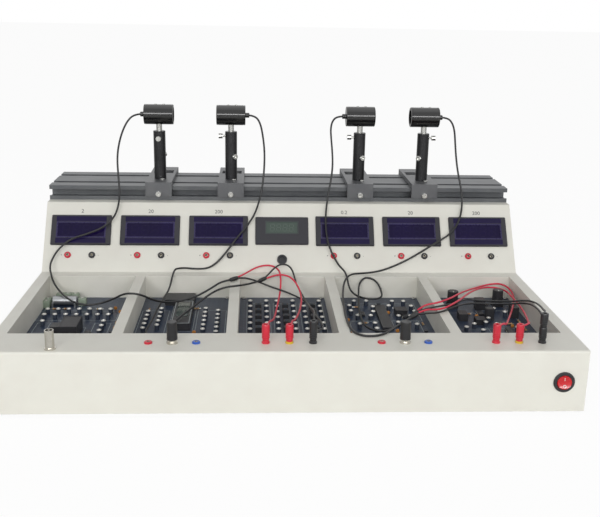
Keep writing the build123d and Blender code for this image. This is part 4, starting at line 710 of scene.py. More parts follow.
# Upright cans and discs of each board: across and depth
CANS: tuple[Rows, ...] = (
    ((44, 126), (-22, 92), (0, 100)),
    ((46, 118), (-16, 84), (14, 100)),
    ((-14, 68), (20, 70)),
    ((0, 226), (44, 128), (-44, 104), (0, 90)),
    ((-40, 204), (42, 122), (-4, 92), (16, 222)),
)
DISCS: tuple[Rows, ...] = (
    ((36, 214), (44, 200), (-14, 108), (12, 96)),
    ((16, 128), (-14, 100), (48, 92)),
    ((-20, 82), (20, 84), (48, 70)),
    ((8, 196), (-46, 170), (46, 104), (10, 132)),
    ((-6, 184), (30, 148), (-44, 118), (36, 96)),
)


def deselect() -> None:
    """Leave edit mode and deselect everything."""
    if bpy.context.object and bpy.context.object.mode != "OBJECT":
        bpy.ops.object.mode_set(mode="OBJECT")
    bpy.ops.object.select_all(action="DESELECT")


def take(piece: bpy.types.Object) -> None:
    """Select one piece alone and make it active.

    Args:
        piece: The piece that the next operators act on.
    """
    deselect()
    piece.select_set(True)
    bpy.context.view_layer.objects.active = piece


def set_down(piece: bpy.types.Object, at: Vector, turn: Euler = Euler((0, 0, 0))) -> None:
    """Turn and move a piece, and put its place in its mesh.

    Args:
        piece: The piece, whose object is at the origin.
        at: Where its own origin goes.
        turn: How it is turned there.
    """
    take(piece)
    piece.rotation_euler = turn
    piece.location = at
    bpy.ops.object.transform_apply(location=True, rotation=True, scale=True)


def copy_to(
    piece: bpy.types.Object, at: Vector, turn: Euler = Euler((0, 0, 0))
) -> bpy.types.Object:
    """Copy of a piece with its own mesh, set down at a place.

    Args:
        piece: The piece to copy.
        at: Where the copy's origin goes.
        turn: How the copy is turned.

    Returns:
        The copy.
    """
    made = piece.copy()
    made.data = piece.data.copy()
    bpy.context.scene.collection.objects.link(made)
    set_down(made, at, turn)
    return made


def join(name: str, pieces: list[bpy.types.Object]) -> bpy.types.Object:
    """Several pieces as one object.

    Args:
        name: The joined object's name.
        pieces: What goes into it; the first one's materials come first.

    Returns:
        The joined object.
    """
    deselect()
    for piece in pieces:
        piece.select_set(True)
    bpy.context.view_layer.objects.active = pieces[0]
    bpy.ops.object.join()
    made = bpy.context.object
    made.name = name
    return made


def discard(piece: bpy.types.Object) -> None:
    """Remove a pattern piece that was only copied from."""
    bpy.data.objects.remove(piece)


def turned(name: str, profile: Profile, sides: int = 20) -> bpy.types.Object:
    """Round piece drawn up from a circle along Z, ring by ring.

    Args:
        name: The piece's name.
        profile: Radius and height of each ring in millimetres, from its foot.
        sides: Number of its sides.

    Returns:
        The piece, closed at both ends, at the origin.
    """
    deselect()
    radius, height = profile[0]
    bpy.ops.mesh.primitive_circle_add(
        vertices=sides, radius=radius * MM, fill_type="NGON", location=(0, 0, height * MM)
    )
    made = bpy.context.object
    made.name = name
    bpy.ops.object.transform_apply(location=True)
    bpy.ops.object.mode_set(mode="EDIT")
    bpy.ops.mesh.select_mode(type="FACE")
    bpy.ops.mesh.select_all(action="SELECT")
    for next_radius, next_height in profile[1:]:
        rise = (next_height - height) * MM
        bpy.ops.mesh.extrude_region_move(TRANSFORM_OT_translate={"value": (0, 0, rise)})
        share = next_radius / radius
        bpy.ops.transform.resize(
            value=(share, share, 1), center_override=(0, 0, next_height * MM)
        )
        radius, height = next_radius, next_height
    bpy.ops.mesh.select_all(action="SELECT")
    bpy.ops.mesh.remove_doubles(threshold=1e-7)
    bpy.ops.mesh.normals_make_consistent(inside=False)
    bpy.ops.object.mode_set(mode="OBJECT")
    return made


def slab(
    name: str, width: float, depth: float, height: float, edge: float = 0.2
) -> bpy.types.Object:
    """Block with bevelled edges that stands on the origin.

    Args:
        name: The piece's name.
        width: Millimetres along X.
        depth: Millimetres along Y.
        height: Millimetres along Z.
        edge: Width of its bevel in millimetres.

    Returns:
        The piece at the origin.
    """
    deselect()
    bpy.ops.mesh.primitive_cube_add(size=1, location=(0, 0, height * MM / 2))
    made = bpy.context.object
    made.name = name
    made.scale = (width * MM, depth * MM, height * MM)
    bpy.ops.object.transform_apply(location=True, rotation=True, scale=True)
    bpy.ops.object.mode_set(mode="EDIT")
    bpy.ops.mesh.select_all(action="SELECT")
    bpy.ops.mesh.bevel(offset=edge * MM, segments=2, affect="EDGES")
    bpy.ops.object.mode_set(mode="OBJECT")
    return made


def ring_plate(
    name: str, width: float, height: float, bar: float, thick: float
) -> bpy.types.Object:
    """Flat frame with a rectangular opening, lying on the origin.

    Args:
        name: The piece's name.
        width: Outer millimetres along X.
        height: Outer millimetres along Y.
        bar: Width of its bars in millimetres.
        thick: Its thickness in millimetres.

    Returns:
        The piece at the origin.
    """
    deselect()
    bpy.ops.mesh.primitive_plane_add(size=1)
    made = bpy.context.object
    made.name = name
    made.scale = (width * MM, height * MM, 1)
    bpy.ops.object.transform_apply(scale=True)
    bpy.ops.object.mode_set(mode="EDIT")
    bpy.ops.mesh.select_mode(type="FACE")
    bpy.ops.mesh.select_all(action="SELECT")
    bpy.ops.mesh.inset(thickness=bar * MM, depth=0)
    bpy.ops.mesh.delete(type="FACE")
    bpy.ops.mesh.select_all(action="SELECT")
    bpy.ops.mesh.extrude_region_move(TRANSFORM_OT_translate={"value": (0, 0, thick * MM)})
    bpy.ops.mesh.select_all(action="SELECT")
    bpy.ops.mesh.normals_make_consistent(inside=False)
    bpy.ops.object.mode_set(mode="OBJECT")
    return made


def lettering(name: str, text: str, height: float, thick: float = 0.12) -> bpy.types.Object:
    """Plain printed mark as a thin mesh, centred on the origin and facing up Z.

    Args:
        name: The piece's name.
        text: A number or a sign.
        height: Height of a digit in millimetres.
        thick: Thickness of the print in millimetres.

    Returns:
        The piece at the origin.
    """
    deselect()
    bpy.ops.object.text_add()
    made = bpy.context.object
    made.name = name
    made.data.body = text
    made.data.size = height * MM / 0.7
    made.data.align_x = "CENTER"
    made.data.align_y = "CENTER"
    made.data.extrude = thick * MM / 2
    made.data.resolution_u = 3
    bpy.ops.object.convert(target="MESH")
    return made


def wear(
    piece: bpy.types.Object, body: str, finish: Finish
) -> bpy.types.Object:
    """Finish a new piece: smooth it, dress it and let it ride on a body.

    Args:
        piece: The piece, in place.
        body: Name of the body that it moves with.
        finish: What it is made of.

    Returns:
        The same piece.
    """
    take(piece)
    bpy.ops.object.shade_smooth_by_angle(angle=math.radians(32))
    piece.data.materials.clear()
    piece.data.materials.append(finish.material())
    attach(piece, body)
    log.info("%s rides on %s", piece.name, body)
    return piece


@dataclass
class Studio:
    """Pale floor, plain soft light and the camera at the photograph's angle."""

    camera_at: Point = (-0.03923, -1.09106, 0.42409)
    yaw: float = -3.16
    pitch: float = -16.16
    roll: float = 1.07
    lens: float = 53.1
    world_level: float = 0.40
    floor_white: float = 0.94
    aim: Point = (0.0, 0.0, 0.1)

    def build(self) -> None:
        """Make the camera, the lamps, the world and the floor."""
        self.place_camera()
        self.hang_lamp("lamp_key", (-1.1, -2.2, 1.0), 9.0, 1.1)
        self.hang_lamp("lamp_strip", (0.0, -2.4, 0.95), 24.0, 2.6, 0.3)
        self.hang_lamp("lamp_fill", (1.5, -2.0, 0.9), 7.0, 1.2)
        self.hang_lamp("lamp_top", (0.1, 0.2, 2.2), 3.0, 1.6)
        self.light_world()
        self.lay_floor()

    def place_camera(self) -> None:
        """Set the camera where the photograph was taken from."""
        yaw, pitch, roll = (math.radians(v) for v in (self.yaw, self.pitch, self.roll))
        ahead = Vector(
            (-math.sin(yaw) * math.cos(pitch), math.cos(yaw) * math.cos(pitch), math.sin(pitch))
        )
        level = Vector((math.cos(yaw), math.sin(yaw), 0))
        above = level.cross(ahead)
        right = level * math.cos(roll) + above * math.sin(roll)
        up = above * math.cos(roll) - level * math.sin(roll)
        facing = Matrix((right, up, -ahead)).transposed()
        data = bpy.data.cameras.new("camera")
        data.lens = self.lens
        data.sensor_width = 36.0
        data.sensor_fit = "HORIZONTAL"
        camera = bpy.data.objects.new("camera", data)
        camera.matrix_world = Matrix.Translation(self.camera_at) @ facing.to_4x4()
        bpy.context.scene.collection.objects.link(camera)
        bpy.context.scene.camera = camera

    def hang_lamp(
        self, name: str, at: Point, power: float, size: float, tall: float = 0.0
    ) -> None:
        """Hang one lamp that points at the trainer.

        Args:
            name: The lamp's name.
            at: Where it hangs.
            power: Its power in watts.
            size: Its width in metres.
            tall: Its height in metres, where it isn't square.
        """
        data = bpy.data.lights.new(name, "AREA")
        data.energy = power
        data.size = size
        if tall:
            data.shape = "RECTANGLE"
            data.size_y = tall
        lamp = bpy.data.objects.new(name, data)
        lamp.location = at
        towards = Vector(self.aim) - Vector(at)
        lamp.rotation_euler = towards.to_track_quat("-Z", "Y").to_euler()
        bpy.context.scene.collection.objects.link(lamp)

    def light_world(self) -> None:
        """Light the room evenly, and show it white to the camera and in gloss and glass."""
        world = bpy.data.worlds.new("room")
        world.use_nodes = True
        bpy.context.scene.world = world
        tree = world.node_tree
        tree.nodes.clear()
        rays = add_node(tree, "ShaderNodeLightPath")
        gloss = add_node(
            tree,
            "ShaderNodeMath",
            {"operation": "MAXIMUM"},
            {0: rays.outputs["Is Glossy Ray"], 1: rays.outputs["Is Transmission Ray"]},
        )
        seen = add_node(
            tree,
            "ShaderNodeMath",
            {"operation": "MAXIMUM"},
            {0: rays.outputs["Is Camera Ray"], 1: gloss.outputs[0]},
        )
        level = add_node(
            tree,
            "ShaderNodeMapRange",
            {"To Min": self.world_level, "To Max": 1.0},
            {"Value": seen.outputs[0]},
        )
        light = add_node(
            tree,
            "ShaderNodeBackground",
            {"Color": linear("#FFFFFF")},
            {"Strength": level.outputs["Result"]},
        )
        add_node(tree, "ShaderNodeOutputWorld", links={"Surface": light.outputs["Background"]})

    def lay_floor(self) -> None:
        """Lay a wide pale floor that keeps the trainer's shadow."""
        deselect()
        bpy.ops.mesh.primitive_plane_add(size=30, location=(0, 0, 0))
        floor = bpy.context.object
        floor.name = "floor"
        material = bpy.data.materials.new("paper_sweep")
        material.use_nodes = True
        tree = material.node_tree
        tree.nodes.clear()
        rays = add_node(tree, "ShaderNodeLightPath")
        share = add_node(
            tree,
            "ShaderNodeMath",
            {"operation": "MULTIPLY", 1: self.floor_white},
            {0: rays.outputs["Is Camera Ray"]},
        )
        paper = add_node(
            tree, "ShaderNodeBsdfDiffuse", {"Color": linear("#F7F7F5"), "Roughness": 0.0}
        )
        white = add_node(
            tree, "ShaderNodeEmission", {"Color": linear("#FFFFFF"), "Strength": 1.0}
        )
        mixed = add_node(
            tree,
            "ShaderNodeMixShader",
            links={"Fac": share.outputs[0], 1: paper.outputs[0], 2: white.outputs[0]},
        )
        add_node(tree, "ShaderNodeOutputMaterial", links={"Surface": mixed.outputs[0]})
        floor.data.materials.append(material)


def nurbs(name: str, points: list[Vector]) -> bpy.types.Object:
    """Open NURBS curve with the points as its control points.

    Args:
        name: The curve's name.
        points: Its control points.

    Returns:
        The curve object, at the origin.
    """
    data = bpy.data.curves.new(name, "CURVE")
    data.dimensions = "3D"
    data.resolution_u = 5
    spline = data.splines.new("NURBS")
    spline.points.add(len(points) - 1)
    for control, point in zip(spline.points, points):
        control.co = (*point, 1.0)
    spline.order_u = 3
    spline.use_endpoint_u = True
    made = bpy.data.objects.new(name, data)
    bpy.context.scene.collection.objects.link(made)
    return made


def line_of(curve: bpy.types.Object) -> list[Vector]:
    """Points along a curve that has no bevel yet.

    Args:
        curve: The curve object.

    Returns:
        Its points from end to end.
    """
    mesh = bpy.data.meshes.new_from_object(curve)
    line = [vertex.co.copy() for vertex in mesh.vertices]
    bpy.data.meshes.remove(mesh)
    return line


def length_of(line: list[Vector]) -> float:
    """Length of a line of points in metres."""
    return sum((b - a).length for a, b in zip(line, line[1:]))


def tube_along(name: str, line: list[Vector], radius: float) -> bpy.types.Object:
    """Mesh tube that follows a line of points.

    Args:
        name: The tube's name.
        line: The points that it follows.
        radius: Its radius in metres.

    Returns:
        The tube, closed at both ends.
    """
    deselect()
    data = bpy.data.curves.new(name, "CURVE")
    data.dimensions = "3D"
    data.bevel_depth = radius
    data.bevel_resolution = 3
    data.use_fill_caps = True
    spline = data.splines.new("POLY")
    spline.points.add(len(line) - 1)
    for control, point in zip(spline.points, line):
        control.co = (*point, 1.0)
    made = bpy.data.objects.new(name, data)
    bpy.context.scene.collection.objects.link(made)
    take(made)
    bpy.ops.object.convert(target="MESH")
    bpy.ops.object.mode_set(mode="EDIT")
    bpy.ops.mesh.select_all(action="SELECT")
    bpy.ops.mesh.remove_doubles(threshold=1e-6)
    bpy.ops.mesh.normals_make_consistent(inside=False)
    bpy.ops.object.mode_set(mode="OBJECT")
    bpy.ops.object.shade_smooth_by_angle(angle=math.radians(50))
    return made


def touch(node: str, start: Vector, direction: Vector) -> tuple[Vector, Vector]:
    """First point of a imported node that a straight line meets.

    Args:
        node: The node's name.
        start: Where the line starts, outside the node.
        direction: Its direction.

    Returns:
        The point and the surface's normal there.

    Raises:
        ValueError: If the line misses the node.
    """
    found, place, normal, _ = bpy.data.objects[node].ray_cast(start, direction)
    if not found:
        raise ValueError(f"no point of {node} ahead of {tuple(start)}")
    return place, normal


def facing(direction: Vector) -> Euler:
    """Turn that points a piece's Z along a direction."""
    return direction.to_track_quat("Z", "Y").to_euler()


@dataclass
class Splitter:
    """Moulded sleeve where a sensor cord parts into its two leads."""

    number: int
    start: Point
    end: Point
    length: float = 14.0
    rings: int = 3

    @property
    def foot(self) -> Vector:
        """Where the cord enters."""
        return spot(*self.start)

    @property
    def along(self) -> Vector:
        """Direction from the cord to the leads."""
        return (spot(*self.end) - spot(*self.start)).normalized()

    def build(self) -> bpy.types.Object:
        """Model the sleeve with its grip rings.

        Returns:
            The sleeve in place.
        """
        profile = [(1.65, 0.0), (2.15, 1.2), (2.7, 3.0)]
        for ring in range(self.rings):
            low = 4.0 + 2.2 * ring
            profile += [(2.7, low), (2.35, low + 0.3), (2.35, low + 1.0), (2.7, low + 1.3)]
        profile += [(2.7, 11.0), (2.4, self.length)]
        made = turned(f"splitter_{self.number}", tuple(profile), 18)
        set_down(made, self.foot, facing(self.along))
        wear(made, ROOT, CABLE_BLACK)
        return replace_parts(made, "cord_splitters")


@dataclass
class SensorCord:
    """Cable of one head, cut into stretches at the head, the rod, the carriage and the case; only
    the last one rides on the case.
    """

    number: int
    route: Route
    side: int
    splitter: Splitter
    diameter: float = 0.0026
    head_run: float = 0.075
    rod_run: float = 0.050
    slack: float = 0.150

    def build(self, sleeve: bpy.types.Object) -> None:
        """Lay the cable and cut it into its stretches.

        Args:
            sleeve: The sleeve at its far end.
        """
        tip = Vector((POST_X[self.number - 1] + self.side * 0.0252, 0, BARREL_Z))
        tip.y = FRONT_Y + POST_DEPTH
        points = [tip] + [spot(*point) for point in self.route]
        points[-1] += self.splitter.along * 0.001
        curve = nurbs(f"cord_line_{self.number}", points)
        line = line_of(curve)
        discard(curve)
        first, rest = self.cut(line, self.head_run)
        second, last = self.cut(rest, self.rod_run)
        held, lying = self.cut(last, self.slack)
        n = self.number
        self.lay(f"cord_{n}_head", first, (f"head_{n}", f"rod_{n}"), first[-1])
        self.lay(f"cord_{n}_rod", second, (f"rod_{n}", f"carriage_{n}"), second[-1])
        self.lay(f"cord_{n}_fall", held, (f"carriage_{n}", ROOT), held[-1])
        self.lay(f"cord_{n}_run", lying, (ROOT, ROOT), lying[-1], sleeve)

    @staticmethod
    def cut(line: list[Vector], run: float) -> tuple[list[Vector], list[Vector]]:
        """Part a line near a length along it.

        Args:
            line: The points of the line.
            run: Metres along it.

        Returns:
            The part before and the part after, which share one point.
        """
        gone = 0.0
        for place in range(1, len(line)):
            gone += (line[place] - line[place - 1]).length
            if gone >= run:
                return line[: place + 1], line[place:]
        return line, line[-1:]

    def lay(
        self,
        name: str,
        line: list[Vector],
        bodies: tuple[str, str],
        settled: Vector,
        sleeve: bpy.types.Object | None = None,
    ) -> None:
        """Make one stretch, which rides on its body where it starts and ends on the same one.

        Args:
            name: The stretch's name.
            line: The points that it follows.
            bodies: The body it starts on and the body it ends on.
            settled: A point near the stretch's end; not used.
            sleeve: The sleeve that it ends in, if it does; not used.
        """
        tube = tube_along(name, line, self.diameter / 2)
        tube.data.materials.append(CABLE_BLACK.material())
        if bodies[0] == bodies[1]:
            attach(tube, bodies[0])
        else:
            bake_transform(tube)
        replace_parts(tube, f"sensor_cord_{self.number}")
        log.info("%s is %.0f mm long", name, length_of(line) / MM)


@dataclass
class Plug:
    """Four-millimetre test plug with a stackable socket in its top."""

    name: str
    seat: Point
    height: float
    bosses: tuple[tuple[float, float], ...]
    finish: Finish
    slot: str
    node: str
    socket: float = 6.0

    def boss_axis(self, boss: int) -> tuple[Vector, Vector]:
        """Root and direction of a side boss.

        Args:
            boss: Which of its bosses.

        Returns:
            The point on the plug's axis and the direction out of it.
        """
        up, turn = self.bosses[boss]
        out = Vector((math.sin(math.radians(turn)), math.cos(math.radians(turn)), 0))
        return Vector(self.seat) + Vector((0, 0, up * MM)), out

    def build(self) -> bpy.types.Object:
        """Model the grip, its bosses and its pin.

        Returns:
            The plug in place.
        """
        top = self.height
        ribs = []
        low = 4.6
        while low < min(top - 9.0, 9.0):
            ribs += [(4.3, low), (4.02, low + 0.25), (4.02, low + 0.75), (4.3, low + 1.0)]
            low += 1.9
        profile = [(3.5, 0.0), (3.7, 0.3), (3.7, 3.0), (4.3, 3.7), *ribs]
        profile += [(4.3, top - 1.5), (4.22, top - 0.8), (3.9, top - 0.2), (3.5, top)]
        profile += [(2.45, top), (2.05, top - 0.5), (2.05, top - self.socket)]
        grip = turned(f"{self.name}_grip", tuple(profile), 24)
        set_down(grip, Vector(self.seat))
        pieces = [grip]
        for index in range(len(self.bosses)):
            root, out = self.boss_axis(index)
            profile = ((1.9, 0.0), (1.9, 1.6), (1.65, 2.2), (1.55, 4.2), (1.2, 4.6))
            boss = turned(f"{self.name}_boss", profile, 14)
            set_down(boss, root + out * 0.003, facing(out))
            pieces.append(boss)
        made = join(self.name, pieces)
        wear(made, ROOT, self.finish)
        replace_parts(made, self.node)
        pin = turned(f"{self.name}_pin", ((1.4, -11.0), (1.95, -10.4), (1.95, 0.3)), 16)
        set_down(pin, Vector(self.seat))
        wear(pin, ROOT, NICKEL)
        return made


@dataclass
class Lead:
    """Thin test lead from a splitter to a plug."""

    name: str
    splitter: Splitter
    aside: float
    route: Route
    plug: Plug
    boss: int
    finish: Finish
    slot: str
    node: str
    diameter: float = 0.0023

    def build(self, plug: bpy.types.Object) -> None:
        """Lay the lead as a round cord.

        Args:
            plug: The piece that stands for the plug at its end; not used.
        """
        along = self.splitter.along
        aside = along.cross(Vector((0, 0, 1))).normalized() * self.aside * MM
        tip = self.splitter.foot + along * self.splitter.length * MM + aside
        root, out = self.plug.boss_axis(self.boss)
        points = [tip - along * 0.001] + [spot(*point) for point in self.route]
        points += [root + out * 0.0163, root + out * 0.007]
        curve = nurbs(self.name, points)
        line = line_of(curve)
        curve.data.bevel_depth = self.diameter / 2
        curve.data.bevel_resolution = 3
        curve.data.use_fill_caps = True
        curve.data.materials.append(self.finish.material())
        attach(curve, ROOT)
        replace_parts(curve, self.node)
        log.info("%s is %.0f mm long", self.name, length_of(line) / MM)


@dataclass
class Wiring:
    """All cords of the trainer with their splitters and plugs."""

    sides: tuple[int, ...] = (-1, 1, -1, 1)
    red_sides: tuple[int, ...] = (-1, 1, -1, -1)
    spread: float = 1.15
    jack_top: float = 0.0752
    jack_depth: float = 0.025
    red_turns: tuple[float, ...] = (14.0, 12.0, 42.0, 50.0)
    red_x: tuple[float, ...] = (-0.0254, 0.0, 0.2244, 0.2498)

    def seat(self, across: float, up: float = 0.0) -> Point:
        """Where a plug stands on a socket of the front ledge.

        Args:
            across: Metres to the right of the middle.
            up: Metres above the socket's collar.

        Returns:
            The point under the plug's grip.
        """
        return (across, FRONT_Y + self.jack_depth, self.jack_top + up)

    def build(self) -> None:
        """Lay every cord and stand every plug."""
        splitters = [Splitter(n + 1, *ends) for n, ends in enumerate(SPLITTER_ENDS)]
        sleeves = [splitter.build() for splitter in splitters]
        for n, splitter in enumerate(splitters):
            cord = SensorCord(n + 1, CORD_ROUTES[n], self.sides[n], splitter)
            cord.build(sleeves[n])
        red = [
            Plug(f"plug_red_{n + 1}", self.seat(x), 19.2, ((15.8, turn),), RED_PLASTIC,
                 "red_plastic", "red_plugs")
            for n, (x, turn) in enumerate(zip(self.red_x, self.red_turns))
        ]
        paired = self.black_plug("plug_black_pair", 0.0254, 0.0, 23.2, ((10.3, 50.0), (17.8, 8.0)))
        lower = self.black_plug("plug_black_low", 0.2752, 0.0, 15.8, ((13.8, 12.0),), 12.0)
        upper = self.black_plug("plug_black_top", 0.2752, 0.01585, 15.8, ((12.0, 19.0),), 12.0)
        made = {plug.name: plug.build() for plug in [*red, paired, lower, upper]}
        ends = ((paired, 0), (paired, 1), (upper, 0), (lower, 0))
        for n, splitter in enumerate(splitters):
            side = self.red_sides[n] * self.spread
            Lead(f"lead_red_{n + 1}", splitter, side, RED_ROUTES[n], red[n], 0, CABLE_RED,
                 "cable_red", "red_leads").build(made[red[n].name])
            plug, boss = ends[n]
            Lead(f"lead_black_{n + 1}", splitter, -side, BLACK_ROUTES[n], plug, boss,
                 CABLE_BLACK, "cable_black", "black_leads").build(made[plug.name])

    def black_plug(
        self,
        name: str,
        across: float,
        up: float,
        height: float,
        bosses: tuple[tuple[float, float], ...],
        socket: float = 6.0,
    ) -> Plug:
        """One of the black plugs.

        Args:
            name: Its name.
            across: Metres to the right of the middle.
            up: Metres above the socket's collar.
            height: Height of its grip in millimetres.
            bosses: Height and turn of each lead's boss.
            socket: Depth of the socket in its top in millimetres.

        Returns:
            The plug, not built yet.
        """
        return Plug(
            name,
            self.seat(across, up),
            height,
            bosses,
            BLACK_PLASTIC,
            "black_plastic",
            "black_plugs",
            socket,
        )


@dataclass
class Meters:
    """What shows inside the panel meters: stepped frames and the unlit digits."""

    steps: tuple[tuple[float, ...], ...] = ((66.0, 22.9, 1.4, 0.9), (63.4, 20.0, 0.5, 0.5))
    shade: tuple[float, float] = (67.0, 7.2)
    shade_up: float = 15.6
    reach: float = 0.05
    lux_rise: float = 4.5
    sink: float = 1.1
    digit: tuple[float, float] = (8.6, 14.0)
    digits: int = 4
    pitch: float = 13.5
    lux_digit: tuple[float, float] = (5.4, 10.0)
    lux_pitch: float = 8.6

    def build(self) -> None:
        """Model the frames and digits of all seven meters."""
        steps = []
        digits = []
        strip = self.digit_row(self.digit, self.digits, self.pitch)
        for across in LED_X:
            steps += [self.on_meter(ring_plate("step", *row), across, 0.0) for row in self.steps]
            digits.append(self.on_meter(copy_to(strip, Vector()), across, 0.0))
        discard(strip)
        wear(join("led_steps", steps), ROOT, STEP_TINT)
        self.add_shades()
        wear(join("led_digits", digits), ROOT, DIGIT_TINT)
        frame = ring_plate("lux_step", 45.8, 19.3, 1.5, 0.8)
        wear(self.on_meter(frame, 0.0, self.lux_rise), ROOT, LUX_EDGE)
        small = self.digit_row(self.lux_digit, self.digits, self.lux_pitch)
        wear(self.on_meter(small, 0.0, self.lux_rise), ROOT, LUX_DIGIT)

    def add_shades(self) -> None:
        """Lay the tinted front sheet over and under each display."""
        shade = slab("shade", *self.shade, 0.3, 0.1)
        lean = Euler((PANEL_TILT, 0, 0))
        out = on_panel(0.0, 0.0, 1.0) - on_panel(0.0, 0.0)
        shades = []
        for across in LED_X:
            for up in (-self.shade_up, self.shade_up):
                start = on_panel(across, METER_UP + up * MM, self.reach)
                place, _ = touch("meter_housings", start, -out)
                shades.append(copy_to(shade, place - out * 0.00005, lean))
        discard(shade)
        wear(join("meter_shades", shades), ROOT, SHADE)

    def on_meter(
        self, piece: bpy.types.Object, across: float, rise: float
    ) -> bpy.types.Object:
        """Lay a piece on the window of the meter that stands there.

        Args:
            piece: A flat piece at the origin.
            across: Metres to the right of the middle.
            rise: Millimetres up from the meter's middle.

        Returns:
            The same piece, in place.
        """
        at = on_panel(across, METER_UP + rise * MM, (self.sink + 1.15) * MM)
        set_down(piece, at, Euler((PANEL_TILT, 0, 0)))
        return piece

    def digit_row(
        self, size: tuple[float, float], count: int, pitch: float
    ) -> bpy.types.Object:
        """Row of unlit seven-bar digits lying on the origin.

        Args:
            size: Width and height of a digit in millimetres.
            count: Number of digits.
            pitch: Millimetres from one digit to the next.

        Returns:
            The row as one object.
        """
        width, height = size
        bar = width * 0.15
        half = height / 2
        bars = [(0, y, width - bar * 1.6, bar) for y in (-half, 0.0, half)]
        bars += [
            (x, y, bar, half - bar * 1.3)
            for x in (-width / 2, width / 2)
            for y in (-half / 2, half / 2)
        ]
        pieces = []
        for place in range(count):
            middle = (place - (count - 1) / 2) * pitch
            for x, y, wide, high in bars:
                piece = slab("bar", wide, high, 0.12, 0.03)
                lean = y * 0.09
                set_down(piece, Vector((middle + x + lean, y, 0)) * MM)
                pieces.append(piece)
            dot = slab("dot", bar, bar, 0.12, 0.03)
            set_down(dot, Vector((middle + width * 0.78, -half, 0)) * MM)
            pieces.append(dot)
        return join(f"digits_{round(width)}", pieces)


@dataclass
class Panel:
    """Printed signs and socket sleeves of the slanted panel."""

    numbers: tuple[str, ...] = ("2", "20", "200", "0.2", "20", "200")
    number_up: float = 0.0875
    jack_up: float = 0.024
    jack_spread: float = 0.016
    sign_spread: float = 0.0245

    def build(self) -> None:
        """Print the signs and set a contact sleeve in each socket."""
        lean = Euler((PANEL_TILT, 0, 0))
        marks = []
        for across, number in zip(LED_X, self.numbers):
            mark = lettering("number", number, 5.2)
            set_down(mark, on_panel(across, self.number_up, 0.0001), lean)
            marks.append(mark)
            for side, sign in ((-1, "+"), (1, "-")):
                mark = lettering("sign", sign, 3.0)
                at = on_panel(across + side * self.sign_spread, self.jack_up, 0.0001)
                set_down(mark, at, lean)
                marks.append(mark)
        wear(join("panel_signs", marks), ROOT, PRINT)
        sleeve = contact_sleeve()
        sleeves = [
            copy_to(sleeve, on_panel(across + side * self.jack_spread, self.jack_up), lean)
            for across in LED_X
            for side in (-1, 1)
        ]
        discard(sleeve)
        wear(join("panel_contacts", sleeves), ROOT, NICKEL)


def contact_sleeve() -> bpy.types.Object:
    """Metal sleeve that lines a four-millimetre socket, standing on the socket's plane."""
    return turned(
        "contact_sleeve",
        ((2.0, -9.0), (2.0, 1.9), (1.9, 2.05), (1.6, 2.05), (1.55, 1.8), (1.55, -8.0)),
        16,
    )


@dataclass
class Ledge:
    """Fittings of the front ledge and the front face."""

    depth: float = 0.025
    spread: float = 0.0254
    mark_up: float = 3.9
    reach: float = 0.05
    sink: float = 0.00004

    def build(self) -> None:
        """Set the contact sleeves that no plug covers and mark the switch."""
        sleeve = contact_sleeve()
        places = [WELL_X[n] - self.spread for n in (1, 3)]
        places += [WELL_X[n] + self.spread for n in (1, 3)]
        sleeves = [
            copy_to(sleeve, Vector((x, FRONT_Y + self.depth, DECK_Z))) for x in places
        ]
        discard(sleeve)
        wear(join("ledge_contacts", sleeves), ROOT, NICKEL)
        self.mark_switch()

    def mark_switch(self) -> None:
        """Mould the usual line and ring into the two halves of the switch."""
        line = slab("switch_line", 0.8, 3.2, 0.16, 0.05)
        ring = turned("switch_ring", ((1.9, 0.0), (1.9, 0.14), (1.2, 0.14), (1.2, 0.0)), 24)
        low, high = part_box("power_rocker")
        for mark, up in ((line, self.mark_up), (ring, -self.mark_up)):
            start = (low + high) / 2 + Vector((0, -self.reach, up * MM))
            place, normal = touch("power_rocker", start, Vector((0, 1, 0)))
            set_down(mark, place - normal * self.sink, facing(normal))
        wear(join("switch_marks", [line, ring]), "power_rocker", POINTER)


